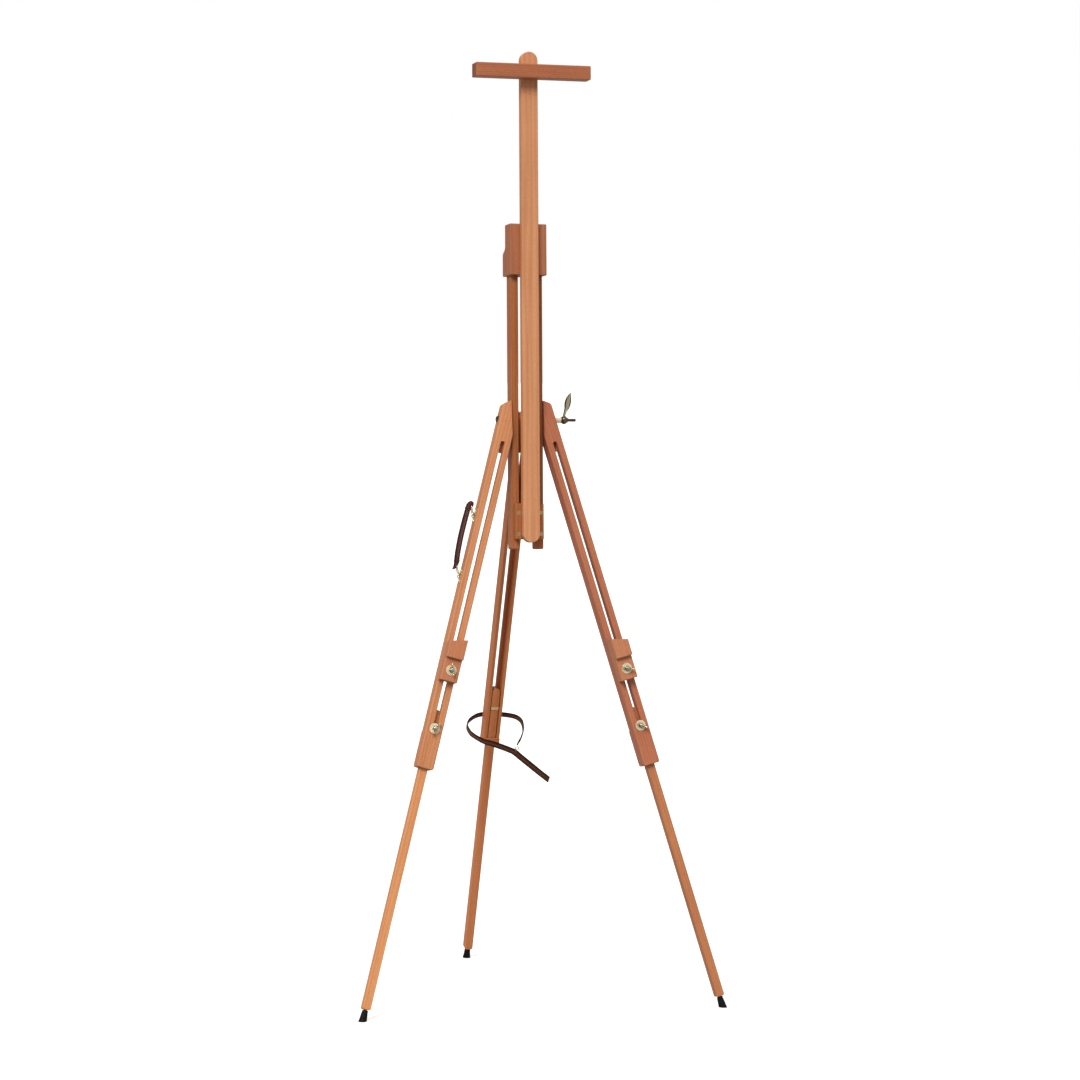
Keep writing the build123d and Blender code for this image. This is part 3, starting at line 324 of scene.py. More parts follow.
def metal(name, colour, tarnish, rough, scratch_scale=1600, seed=1, metallic=1.0, shade_mark=""):
    """Turned and cast metal: fine scratches, patches of tarnish, tarnish and painted shade in hollows, and painted
    shade on points with a given mark.
    """
    paint = Paint(name)
    space = paint.place(shift=(seed, seed * 0.7, 0))
    patches = paint.ramp(paint.noise(space, 160, detail=5, rough=0.65), (0.42, 0.0), (0.66, 1.0))
    lines = paint.noise(paint.place(of=space, scale=(1, 0.12, 1)), scratch_scale, detail=2)
    specks = paint.ramp(paint.noise(space, 900, detail=2), (0.62, 0.0), (0.70, 1.0))
    edge = paint.edges(0.6 * MM)
    # darker in hollows found by pointiness: tarnish, and painted shade in place of occlusion
    hollow_tarnish_and_shade = paint.ramp(paint.node("NewGeometry").outputs["Pointiness"], (0.40, 1.0), (0.49, 0.0))
    base = paint.mix(paint.math("MULTIPLY", patches, 0.55), colour, tarnish)
    base = paint.mix(paint.math("MULTIPLY", hollow_tarnish_and_shade, 0.8), base, tuple(c * 0.3 for c in tarnish))
    base = paint.mix(paint.math("MULTIPLY", specks, 0.35), base, tuple(c * 0.5 for c in tarnish))
    base = paint.mix(paint.math("MULTIPLY", edge, 0.5), base, tuple(min(1.0, c * 1.2) for c in colour))
    # painted shade: darkens the points that carry the mark, such as the side of a nut's hub
    if shade_mark:
        painted_shade = paint.math("MULTIPLY", paint.mark(shade_mark), 0.85)
        base = paint.mix(painted_shade, base, tuple(c * 0.25 for c in tarnish))
    value = paint.math("ADD", paint.math("MULTIPLY", patches, 0.16), paint.math("MULTIPLY", lines, 0.16))
    roughness = paint.math("ADD", value, rough - 0.08, clamp=True)
    height = paint.math("ADD", lines, paint.math("MULTIPLY", patches, 0.3))
    normal = paint.bump(height, 0.03 * MM, 0.5)
    return paint.set(colour=base, roughness=roughness, metallic=metallic, normal=normal)


def leather(name, colour, dark, stripe_wear_and_highlight, mark):
    """Waxed harness leather: pores and creases, near-black burnished edges, and a paler band that is wear in the
    strap's middle and a painted highlight along the handle's seams.
    """
    paint = Paint(name)
    space = paint.place()
    cells = paint.node("TexVoronoi", feature="DISTANCE_TO_EDGE")
    paint.feed(cells.inputs["Vector"], space)
    cells.inputs["Scale"].default_value = 1100
    grain = paint.ramp(cells.outputs["Distance"], (0.02, 0.0), (0.16, 1.0))
    creases = paint.noise(space, 260, detail=5, rough=0.7, distort=0.8)
    patches = paint.noise(space, 55, detail=3)
    tone = paint.math("ADD", paint.math("MULTIPLY", creases, 0.5), paint.math("MULTIPLY", patches, 0.5))
    base = paint.ramp(tone, (0.36, dark), (0.64, colour))
    off = paint.math("ABSOLUTE", paint.mark(mark))
    # paler band: wear in the strap's middle, painted highlight along the handle's seams
    lightened = paint.math("MULTIPLY", paint.ramp(off, (0.0, 1.0), (0.42, 0.75), (0.62, 0.0)), 0.72)
    base = paint.mix(lightened, base, stripe_wear_and_highlight)
    base = paint.mix(paint.math("MULTIPLY", paint.math("SUBTRACT", 1.0, grain), 0.35), base, dark)
    burnt = paint.ramp(off, (0.66, 0.0), (0.92, 1.0))
    base = paint.mix(paint.math("MULTIPLY", burnt, 0.85), base, tuple(c * 0.35 for c in dark))
    roughness = paint.ramp(creases, (0.3, 0.36), (0.7, 0.58))
    height = paint.math("ADD", paint.math("MULTIPLY", grain, 0.5), creases)
    normal = paint.bump(height, 0.18 * MM, 0.7)
    return paint.set(colour=base, roughness=roughness, normal=normal, specular=0.16)


def thread_wax(name, colour):
    """Waxed linen thread, twisted."""
    paint = Paint(name)
    twist = paint.noise(paint.place(scale=(1, 1, 0.5)), 2600, detail=2)
    base = paint.ramp(twist, (0.35, tuple(c * 0.55 for c in colour)), (0.65, colour))
    return paint.set(colour=base, roughness=0.7, normal=paint.bump(twist, 0.05 * MM, 0.8))


def lever_metal(name, bright, rim):
    """Cast lever leaf: pale in its middle, with a rim painted dark as shade and dark reflection."""
    paint = Paint(name)
    space = paint.place()
    patches = paint.noise(space, 210, detail=5, rough=0.65)
    off = paint.math("ABSOLUTE", paint.mark("across"))
    edge = paint.math("ADD", off, paint.math("MULTIPLY", paint.math("SUBTRACT", patches, 0.5), 0.30))
    # painted shade and reflection: the rim is painted dark and less metallic
    dark = paint.ramp(edge, (0.40, 0.0), (0.60, 1.0))
    base = paint.mix(paint.ramp(patches, (0.4, 0.0), (0.7, 0.6)), bright, tuple(c * 0.55 for c in bright))
    base = paint.mix(dark, base, rim)
    roughness = paint.ramp(patches, (0.3, 0.30), (0.7, 0.46))
    metallic = paint.math("SUBTRACT", 1.0, paint.math("MULTIPLY", dark, 0.9))
    normal = paint.bump(patches, 0.10 * MM, 0.5)
    return paint.set(colour=base, roughness=roughness, metallic=metallic, normal=normal, specular=0.25)


def rubber(name):
    """Moulded black rubber with dust and a fine texture."""
    paint = Paint(name)
    space = paint.place()
    dust = paint.ramp(paint.noise(space, 240, detail=5, rough=0.7), (0.45, 0.0), (0.75, 1.0))
    fine = paint.noise(space, 2400, detail=2)
    base = paint.mix(paint.math("MULTIPLY", dust, 0.6), (0.005, 0.006, 0.006), (0.020, 0.022, 0.021))
    base = paint.mix(paint.math("MULTIPLY", paint.edges(0.8 * MM), 0.5), base, (0.035, 0.036, 0.035))
    roughness = paint.ramp(dust, (0.0, 0.50), (1.0, 0.78))
    return paint.set(colour=base, roughness=roughness, normal=paint.bump(fine, 0.05 * MM, 0.6), specular=0.08)


# ---------------------------------------------------------------- the materials of the easel
BEECH = {  # light and dark tone of each board
    "mast": ((0.60, 0.270, 0.130), (0.47, 0.190, 0.082)),
    "block": ((0.41, 0.148, 0.068), (0.31, 0.100, 0.042)),
    "rail": ((0.42, 0.145, 0.048), (0.31, 0.094, 0.027)),
    "crossbar": ((0.41, 0.138, 0.062), (0.31, 0.094, 0.038)),
    "leg_left": ((0.59, 0.250, 0.112), (0.46, 0.172, 0.070)),
    "leg_right": ((0.46, 0.160, 0.080), (0.35, 0.106, 0.048)),
    "support_left": ((0.52, 0.205, 0.096), (0.43, 0.152, 0.068)),
    "support_right": ((0.50, 0.200, 0.098), (0.41, 0.148, 0.068)),
    "extension_left": ((0.66, 0.290, 0.118), (0.53, 0.205, 0.076)),
    "extension_right": ((0.49, 0.190, 0.078), (0.38, 0.130, 0.048)),
    "extension_rear": ((0.62, 0.225, 0.084), (0.48, 0.150, 0.050)),
    "rear": ((0.58, 0.205, 0.070), (0.42, 0.125, 0.038)),
}


def paint_nodes():
    """Gives every CAD node its finish."""
    across = Matrix.Rotation(math.pi / 2, 4, "Y")
    boards = {
        "mast_bar": ("mast", MAST), "mast_tongue": ("mast", MAST), "head_block": ("block", MAST),
        "lower_guide_block": ("rail", MAST), "rail_left": ("rail", MAST), "rail_right": ("rail", MAST),
        "crossbar": ("crossbar", MAST @ across), "rear_extension": ("extension_rear", REAR),
        "rear_leg_body": ("rear", REAR), "rear_leg_bridge": ("rear", REAR @ across),
    }
    for side, leg in LEGS.items():
        label = "front_" + side + "_"
        boards[label + "leg_body"] = ("leg_" + side, leg)
        boards[label + "back_plate"] = ("leg_" + side, leg)
        boards[label + "extension"] = ("extension_" + side, leg)
        boards[label + "canvas_support"] = ("support_" + side, leg)
    for seed, (node, (board, member_frame)) in enumerate(sorted(boards.items())):
        light, dark = BEECH[board]
        if node in frame["nodes"]:
            set_material(frame["nodes"][node], wood("beech_" + node, member_frame, light, dark, seed))
    slots = {part["node"]: part["material_slot"] for part in frame["record"]["subparts"]}
    for node, piece in frame["nodes"].items():
        if node not in boards and not piece.hide_render:
            finish = "brass_pale" if node.endswith("_washer") else slots[node]
            set_material(piece, FINISH[NODE_FINISH.get(node, finish)])


def set_material(piece, material):
    piece.data.materials.clear()
    piece.data.materials.append(material)


NODE_FINISH = {  # nodes whose finish is not that of their slot
    "lever_washer": "tin", "pivot_sleeve": "steel", "tilt_bolt": "steel_dark", "tilt_bolt_washer": "steel_dark",
}
FINISH = {
    "brass": metal("brass", (0.90, 0.76, 0.44), (0.42, 0.30, 0.12), 0.22),
    "brass_pale": metal("brass_pale", (0.86, 0.78, 0.58), (0.62, 0.50, 0.28), 0.26, seed=7, metallic=0.45),
    "brass_cast": metal(
        # its hub_side mark gets painted shade
        "brass_cast", (0.90, 0.80, 0.54), (0.24, 0.19, 0.09), 0.20, seed=3, shade_mark="hub_side"
    ),
    "bronze": metal("bronze", (0.20, 0.165, 0.095), (0.022, 0.017, 0.010), 0.16, seed=4),
    "steel": metal("steel", (0.66, 0.64, 0.60), (0.30, 0.27, 0.23), 0.30, seed=2),
    "steel_dark": metal(
        "steel_dark", (0.075, 0.068, 0.055), (0.015, 0.013, 0.010), 0.26, seed=5, metallic=0.7
    ),
    "tin": metal("tin", (0.86, 0.80, 0.68), (0.60, 0.52, 0.40), 0.34, seed=6, metallic=0.55),
    # second colour: the painted dark rim, standing in for shade and dark reflections
    "lever": lever_metal("lever_leaf_metal", (0.70, 0.62, 0.40), (0.045, 0.036, 0.018)),
    # handle: its third colour is a painted highlight along the seams
    "leather": leather(
        "handle_leather_dark", (0.052, 0.010, 0.009), (0.020, 0.004, 0.004), (0.105, 0.028, 0.026), "through"
    ),
    "strap": leather(
        "strap_leather", (0.075, 0.019, 0.009), (0.020, 0.005, 0.003), (0.16, 0.046, 0.020), "across"
    ),
    "thread": thread_wax("linen_thread", (0.42, 0.27, 0.17)),
    "rubber": rubber("rubber"),
}

# ---------------------------------------------------------------- mesh helpers
def place(member_frame, x, y, z):
    """A point given in millimetres in a member's frame."""
    return member_frame @ Vector((x * MM, y * MM, z * MM))


def turned_about(member_frame, x, y, z, facing, turn=0.0):
    """Frame at a point of a member whose z runs towards facing: front, back, left or right."""
    turns = {"front": (90, "X"), "back": (-90, "X"), "right": (90, "Y"), "left": (-90, "Y")}
    angle, axis = turns[facing]
    at = member_frame @ Matrix.Translation(Vector((x, y, z)) * MM)
    spin = Matrix.Rotation(math.radians(turn), 4, "Z")
    return at @ Matrix.Rotation(math.radians(angle), 4, axis) @ spin


def smooth_line(points, step):
    """Points every step along a smooth line through the given ones, with the share of the way."""
    spots = [Vector(p) for p in points]
    ends = [2 * spots[0] - spots[1]] + spots + [2 * spots[-1] - spots[-2]]
    fine = []
    for a, b, c, d in zip(ends, ends[1:], ends[2:], ends[3:]):
        for k in range(24):
            t = k / 24
            bend = 2 * a - 5 * b + 4 * c - d
            twist = 3 * b - 3 * c + d - a
            fine.append(0.5 * (2 * b + (c - a) * t + bend * t * t + twist * t * t * t))
    fine.append(spots[-1])
    runs = [0.0]
    for a, b in zip(fine, fine[1:]):
        runs.append(runs[-1] + (b - a).length)
    count = max(2, round(runs[-1] / step))
    line = []
    k = 0
    for i in range(count + 1):
        way = runs[-1] * i / count
        while k < len(runs) - 2 and runs[k + 1] < way:
            k += 1
        t = (way - runs[k]) / max(runs[k + 1] - runs[k], 1e-9)
        line.append(fine[k].lerp(fine[k + 1], min(1.0, t)))
    return line


def tangents(line):
    pairs = zip([line[0]] + line[:-1], line[1:] + [line[-1]])
    return [(b - a).normalized() for a, b in pairs]


def mesh_piece(name, verts, faces, material, marks=None, smooth=True):
    mesh = bpy.data.meshes.new(name)
    mesh.from_pydata([tuple(v) for v in verts], [], faces)
    for key, values in (marks or {}).items():
        mark = mesh.attributes.new(key, "FLOAT", "POINT")
        mark.data.foreach_set("value", values)
    mesh.shade_smooth() if smooth else mesh.shade_flat()
    mesh.update()
    piece = bpy.data.objects.new(name, mesh)
    bpy.context.scene.collection.objects.link(piece)
    set_material(piece, material)
    return piece


def give(piece, body, slot, *replaced):
    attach(piece, body)
    if replaced:
        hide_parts(*replaced)
    return piece


def crease(piece, degrees=35):
    """Keeps edges sharper than the angle crisp in the shading."""
    mesh = piece.data
    mesh.set_sharp_from_angle(angle=math.radians(degrees))


def skin(rings, caps=True):
    """Faces over rings of equal point count, closed round and capped at both ends."""
    size = len(rings[0])
    faces = []
    for k in range(len(rings) - 1):
        for i in range(size):
            j = (i + 1) % size
            faces.append((k * size + i, k * size + j, (k + 1) * size + j, (k + 1) * size + i))
    verts = [v for ring in rings for v in ring]
    if caps:
        for base, way in ((0, -1), (len(rings) - 1, 1)):
            middle = sum(rings[base], Vector()) / size
            verts.append(middle)
            for i in range(size):
                j = (i + 1) % size
                face = (base * size + i, base * size + j, len(verts) - 1)
                faces.append(face if way > 0 else face[::-1])
    return verts, faces


def sweep(name, line, across, through, profile, size, material):
    """Sweeps a profile of (u, v) points along a line; size(share) gives its two half sizes."""
    rings, marks_u, marks_v, marks_s = [], [], [], []
    last = len(line) - 1
    run = 0.0
    for k, spot in enumerate(line):
        if k:
            run += (spot - line[k - 1]).length
        wide, deep = size(k / last)
        ring = []
        for u, v in profile:
            ring.append(spot + across[k] * (u * wide) + through[k] * (v * deep))
            marks_u.append(u)
            marks_v.append(v)
            marks_s.append(run / MM)
        rings.append(ring)
    verts, faces = skin(rings)
    extra = len(verts) - len(marks_u)
    columns = (("across", marks_u), ("through", marks_v), ("along", marks_s))
    marks = {key: values + [0.0] * extra for key, values in columns}
    return mesh_piece(name, verts, faces, material, marks)


def oval(count, power):
    """A rounded rectangle as (u, v) points: power 1 is a circle, less is squarer."""
    points = []
    for k in range(count):
        a = 2 * math.pi * k / count
        c, s = math.cos(a), math.sin(a)
        points.append((math.copysign(abs(c) ** power, c), math.copysign(abs(s) ** power, s)))
    return points


def lathe(at, outline, sides=48, ripple=None):
    """Rings round z of a frame from (z, radius) in millimetres; ripple(angle, k) scales a radius."""
    rings = []
    for k, (z, radius) in enumerate(outline):
        ring = []
        for i in range(sides):
            a = 2 * math.pi * i / sides
            r = radius * (ripple(a, k) if ripple else 1.0)
            ring.append(at @ Vector((r * math.cos(a) * MM, r * math.sin(a) * MM, z * MM)))
        rings.append(ring)
    return rings


def joined(*parts):
    """One list of points and faces from several."""
    verts, faces = [], []
    for more_verts, more_faces in parts:
        base = len(verts)
        verts.extend(more_verts)
        faces.extend(tuple(base + i for i in face) for face in more_faces)
    return verts, faces


def applied(piece):
    """Swaps a piece's mesh for what its modifiers make of it."""
    bpy.context.view_layer.update()
    graph = bpy.context.evaluated_depsgraph_get()
    mesh = bpy.data.meshes.new_from_object(piece.evaluated_get(graph))
    piece.modifiers.clear()
    piece.data = mesh
    return piece


def stitch_row(name, line, out, pitch, length, radius, material):
    """A row of short sewn threads that lie along a line of points, raised towards out."""
    parts = []
    ways = tangents(line)
    every = max(1, round(pitch * MM / (line[1] - line[0]).length))
    for k in range(every, len(line) - every, every):
        along, up = ways[k], out[k]
        side = along.cross(up).normalized()
        rings = []
        for share, wide in ((-1.0, 0.25), (-0.82, 0.75), (-0.4, 1.0), (0.4, 1.0), (0.82, 0.75), (1.0, 0.25)):
            sink = (abs(share) ** 3) * 1.3 * radius
            middle = line[k] + along * (share * length / 2 * MM) - up * (sink * MM)
            ring = []
            for i in range(6):
                a = math.pi * i / 3
                ring.append(middle + (side * math.cos(a) + up * math.sin(a)) * (wide * radius * MM))
            rings.append(ring)
        parts.append(skin(rings))
    verts, faces = joined(*parts)
    return mesh_piece(name, verts, faces, material)


# ---------------------------------------------------------------- wing nuts and threaded studs
NUT_HUB = (
    (0.0, 3.4), (0.0, 5.2), (0.4, 5.6), (1.4, 5.6), (2.0, 5.2), (3.0, 5.0), (8.2, 4.5), (9.0, 4.0), (9.0, 3.4),
)
EAR_OUTLINE = (
    (4.3, 0.9), (6.2, 1.4), (8.6, 3.4), (11.2, 4.3), (13.2, 5.4), (14.3, 7.4), (14.2, 9.4),
    (13.0, 11.3), (11.0, 12.0), (9.2, 11.4), (7.7, 9.6), (6.4, 8.3), (4.3, 7.6),
)
EAR_ROOT_T = 1.9  # half thickness at the hub and at the rim
EAR_RIM_T = 1.15
VOXEL = 0.42
HUB_SIDE_R = 5.9  # the side of a nut's hub, painted darker as shade
HUB_SIDE_Z = (1.2, 8.3)
THREAD_PITCH = 1.0
THREAD_ROOT = 3.02
THREAD_CREST = 3.30


def nut_shape(scale_up):
    """Hub and two ears of a cast wing nut in its own frame, base on z = 0."""
    flat = Matrix.Identity(4)
    hub = lathe(flat, [(z * scale_up, r * scale_up) for z, r in NUT_HUB], sides=40)
    hub_verts, hub_faces = skin(hub + [hub[0]], caps=False)
    parts = [(hub_verts, hub_faces)]
    for way in (-1, 1):
        sides = []
        for side in (-1, 1):
            row = []
            for r, z in EAR_OUTLINE:
                t = EAR_ROOT_T + (EAR_RIM_T - EAR_ROOT_T) * min(1.0, (r - 4.3) / 6.0)
                row.append(Vector((way * r, side * t, z)) * (scale_up * MM))
            sides.append(row)
        count = len(EAR_OUTLINE)
        faces = [tuple(range(count)), tuple(range(2 * count - 1, count - 1, -1))]
        faces += [(i, count + i, count + (i + 1) % count, (i + 1) % count) for i in range(count)]
        if way > 0:
            faces = [face[::-1] for face in faces]
        parts.append((sides[0] + sides[1], faces))
    return joined(*parts)


def cast_mesh(scale_up):
    """The wing nut with the soft edges of a casting."""
    verts, faces = nut_shape(scale_up)
    piece = mesh_piece("nut_casting", verts, faces, FINISH["brass_cast"])
    bm = bmesh.new()
    bm.from_mesh(piece.data)
    bmesh.ops.remove_doubles(bm, verts=bm.verts, dist=0.001 * MM)
    bmesh.ops.recalc_face_normals(bm, faces=bm.faces)
    bm.to_mesh(piece.data)
    bm.free()
    remesh = piece.modifiers.new("voxels", "REMESH")
    remesh.mode = "VOXEL"
    remesh.voxel_size = VOXEL * MM
    soften = piece.modifiers.new("soften", "SMOOTH")
    soften.factor = 0.5
    soften.iterations = 4
    mesh = applied(piece).data
    bpy.data.objects.remove(piece)
    mesh.shade_smooth()
    # marks the side of the hub, which brass_cast paints darker as shade
    sides = mesh.attributes.new("hub_side", "FLOAT", "POINT")
    for v, mark in zip(mesh.vertices, sides.data):
        near = math.hypot(v.co.x, v.co.y) < HUB_SIDE_R * scale_up * MM
        mark.value = float(near and HUB_SIDE_Z[0] < v.co.z / (scale_up * MM) < HUB_SIDE_Z[1])
    return mesh


def wing_nut(name, mesh, at, body, node):
    copy = mesh.copy()
    copy.transform(at)
    copy.name = name
    piece = bpy.data.objects.new(name, copy)
    bpy.context.scene.collection.objects.link(piece)
    set_material(piece, FINISH["brass_cast"])
    return give(piece, body, "brass", node)


def thread(name, at, length, body, material, slot, crest=THREAD_CREST):
    """Visible end of a threaded stud: a fine ridge every pitch and a domed end."""
    sides = 32
    rings = []
    turns = int(length / THREAD_PITCH * 4)
    depth = crest - THREAD_ROOT
    for k in range(turns + 1):
        ring = []
        for i in range(sides):
            a = 2 * math.pi * i / sides
            phase = (k / 4 + i / sides) % 1.0
            r = THREAD_ROOT + depth * (1 - abs(2 * phase - 1)) * min(1.0, (turns - k) / 3)
            z = length * k / turns
            ring.append(at @ Vector((r * math.cos(a) * MM, r * math.sin(a) * MM, z * MM)))
        rings.append(ring)
    rings += lathe(at, ((length + 0.12, THREAD_ROOT - 0.45), (length + 0.2, 1.2)), sides=sides)
    verts, faces = skin(rings)
    return give(mesh_piece(name, verts, faces, material), body, slot)


STUD_OUT = 15.0
THREAD_SUNK = 1.5  # a thread starts this far inside its nut
LEG_FRONT = -22.0
PLATE_FRONT = -44.0
REAR_BACK = 22.0
NUT_STAND = 1.7  # washer and play under a nut
NUT_TOP = 9.0
KNOBS = {  # z below the pivot, the face it stands on, turn of its ears
    "extension": (-662.0, LEG_FRONT, {"left": 68.0, "right": -42.0}),
    "support": (-541.0, PLATE_FRONT, {"left": 112.0, "right": -29.0}),
}
REAR_BAR = -647.5
CLAMP_Z = 378.0
CLAMP_FACE = 8.0
CLAMP_GAP = 1.2
CLAMP_SCALE = 1.25
CLAMP_TIP = -19.0


def make_knobs():
    small = cast_mesh(1.0)
    length = STUD_OUT - NUT_STAND - NUT_TOP + THREAD_SUNK
    for side, leg in LEGS.items():
        for kind, (z, face, turns) in KNOBS.items():
            label = "front_" + side + "_" + kind
            at = turned_about(leg, 0, face - NUT_STAND, z, "front", turns[side])
            wing_nut(label + "_nut_cast", small, at, label + "_knob", label + "_wing_nut")
            out = turned_about(leg, 0, face - NUT_STAND - NUT_TOP + THREAD_SUNK, z, "front")
            thread(label + "_thread", out, length, label, FINISH["steel"], "steel")
    at = turned_about(REAR, 0, REAR_BACK + NUT_STAND, REAR_BAR, "back")
    wing_nut("rear_nut_cast", small, at, "rear_knob", "rear_wing_nut")
    out = turned_about(REAR, 0, REAR_BACK + NUT_STAND + NUT_TOP - THREAD_SUNK, REAR_BAR, "back")
    thread("rear_thread", out, length, "rear_extension", FINISH["brass"], "brass")
    large = cast_mesh(CLAMP_SCALE)
    at = turned_about(MAST, 0, CLAMP_FACE + CLAMP_GAP, CLAMP_Z, "back")
    wing_nut("clamp_wing_cast", large, at, "mast_clamp", "mast_clamp_screw")
    length = CLAMP_FACE + CLAMP_GAP + NUT_TOP * CLAMP_SCALE - CLAMP_TIP
    at = turned_about(MAST, 0, CLAMP_TIP, CLAMP_Z, "back")
    outline = ((0, 3.4), (0.6, 4.0), (length - 0.4, 4.0))
    outline += ((length + 0.6, 3.6), (length + 1.4, 2.4), (length + 1.6, 0.8))
    verts, faces = skin(lathe(at, outline))
    give(mesh_piece("clamp_spindle", verts, faces, FINISH["brass"]), "mast_clamp", "brass")


# ---------------------------------------------------------------- lever, its hub and the bolt's end
HUB_X = 76.5  # where the lever's hub starts on the bolt
HUB_OUTLINE = (
    (0.0, 3.5), (0.0, 5.6), (0.5, 6.2), (1.6, 6.3), (2.0, 5.7), (2.8, 5.8), (3.6, 7.4), (5.0, 8.4),
    (7.6, 8.8), (10.2, 8.4), (12.0, 7.2), (12.8, 6.1), (13.4, 5.5), (14.2, 5.6), (15.1, 5.4), (15.5, 4.8),
    (15.5, 3.5),
)
LEAF_LINE = (  # out along the bolt and up, from the hub to the tip
    (0.0, 4.0), (0.2, 9.0), (1.0, 14.0), (3.2, 20.0), (5.6, 27.0), (7.4, 37.0), (9.4, 46.0), (12.2, 53.5),
    (13.8, 56.6),
)
LEAF_HALF = (  # share of the way and half width
    (0.0, 3.0), (0.12, 2.5), (0.22, 2.7), (0.34, 4.0), (0.46, 5.9), (0.60, 6.8), (0.74, 6.0), (0.88, 3.6),
    (1.0, 0.9),
)
LEAF_PROFILE = (
    (1.0, 0.0), (0.98, 0.55), (0.90, 0.95), (0.78, 1.0), (0.66, 0.82), (0.50, 0.58), (0.25, 0.50),
    (0.0, 0.48),
)
LEAF_DEEP = 2.0
BOLT_END = 109.0
SPACER_X = 59.5
SPACER_OUTLINE = (
    (0.0, 3.5), (0.0, 5.8), (0.4, 6.2), (7.8, 6.2), (8.1, 5.9), (8.9, 5.9), (9.2, 6.2), (16.6, 6.2),
    (17.0, 5.8), (17.0, 3.5),
)


def between(stops, share):
    """A smooth curve through (share, value) stops that does not swing past them."""
    slopes = [(d - b) / (c - a) for (a, b), (c, d) in zip(stops, stops[1:])]
    bends = [slopes[0]]
    for before, after in zip(slopes, slopes[1:]):
        bends.append(2 * before * after / (before + after) if before * after > 0 else 0.0)
    bends.append(slopes[-1])
    for k, ((a, low), (b, high)) in enumerate(zip(stops, stops[1:])):
        if share <= b:
            t = (share - a) / (b - a)
            rise = low * (1 - t) ** 2 * (1 + 2 * t) + high * t * t * (3 - 2 * t)
            return rise + (b - a) * (bends[k] * t * (1 - t) ** 2 - bends[k + 1] * t * t * (1 - t))
    return stops[-1][1]


def make_lever():
    hub_frame = turned_about(LEVEL, HUB_X, 0, 0, "right")
    rings = lathe(hub_frame, HUB_OUTLINE, sides=56)
    hub = skin(rings + [rings[0]], caps=False)
    hub_piece = mesh_piece("lever_hub", *hub, FINISH["bronze"])
    crease(hub_piece, 50)
    give(hub_piece, "tilt_lever", "brass")
    middle = HUB_X + HUB_OUTLINE[-1][0] / 2
    line = smooth_line([place(LEVEL, middle + x, 0, z) for x, z in LEAF_LINE], 0.8 * MM)
    through = [Vector((0, 1, 0))] * len(line)
    across = [t.cross(Vector((0, 1, 0))).normalized() for t in tangents(line)]
    top = list(LEAF_PROFILE) + [(-u, v) for u, v in LEAF_PROFILE[-2::-1]]
    profile = top + [(u, -v) for u, v in top[-2:0:-1]]

    def size(share):
        deep = LEAF_DEEP * min(1.0, 0.35 + 2.2 * (1 - share))
        return between(LEAF_HALF, share) * MM, deep * MM

    leaf = sweep("lever_leaf", line, across, through, profile, size, FINISH["lever"])
    give(leaf, "tilt_lever", "brass", "tilt_lever")
    rings = lathe(turned_about(LEVEL, SPACER_X, 0, 0, "right"), SPACER_OUTLINE)
    spacer = mesh_piece("lever_spacer_turned", *skin(rings + [rings[0]], caps=False), FINISH["tin"])
    crease(spacer, 30)
    give(spacer, "lever_stack", "steel", "lever_spacer")
    out = turned_about(LEVEL, HUB_X + HUB_OUTLINE[-1][0] - 1.0, 0, 0, "right")
    length = BOLT_END - HUB_X - HUB_OUTLINE[-1][0] + 1.0
    thread("tilt_bolt_thread", out, length, "tilt_bolt", FINISH["steel_dark"], "steel")


# ---------------------------------------------------------------- rubber tips
FOOT_OUTLINE = (
    (0.0, 3.9), (0.0, 5.6), (0.5, 6.1), (2.6, 6.25), (3.0, 5.9), (3.7, 5.9), (4.1, 6.35), (9.0, 6.85),
    (14.0, 7.35),
    (17.0, 7.75), (17.5, 7.45), (18.2, 7.5), (18.7, 8.0), (21.0, 8.2), (24.0, 8.3), (28.0, 8.3),
)
FOOT_FLUTES = 16
FLUTE_DEPTH = 0.030  # share of the radius
FLUTED = range(7, 10)  # points of the outline that are fluted
FOOT_LENGTH = 22.0
FRONT_FOOT_Y = -2.15


def make_feet():
    """Ribbed rubber tips, cut level where they stand on the floor."""
    def flutes(angle, k):
        return 1.0 - (FLUTE_DEPTH * (0.5 + 0.5 * math.cos(FOOT_FLUTES * angle)) if k in FLUTED else 0.0)

    legs = {"front_left": (LEGS["left"], FRONT_FOOT_Y), "front_right": (LEGS["right"], FRONT_FOOT_Y)}
    legs["rear"] = (REAR, -FRONT_FOOT_Y)
    for name, (leg, y) in legs.items():
        middle = place(leg, 0, y, 0)
        along = leg.to_3x3() @ Vector((0, 0, 1))
        reach = middle.z / along.z / MM
        top = leg @ Matrix.Translation(Vector((0, y, FOOT_LENGTH - reach)) * MM)
        at = top @ Matrix.Rotation(math.pi, 4, "X")
        verts, faces = skin(lathe(at, FOOT_OUTLINE, sides=96, ripple=flutes))
        for v in verts:
            v.z = max(v.z, 0.0)
        foot = mesh_piece(name + "_tip", verts, faces, FINISH["rubber"])
        crease(foot, 40)
        give(foot, name + "_extension", "rubber", name + "_rubber_foot")


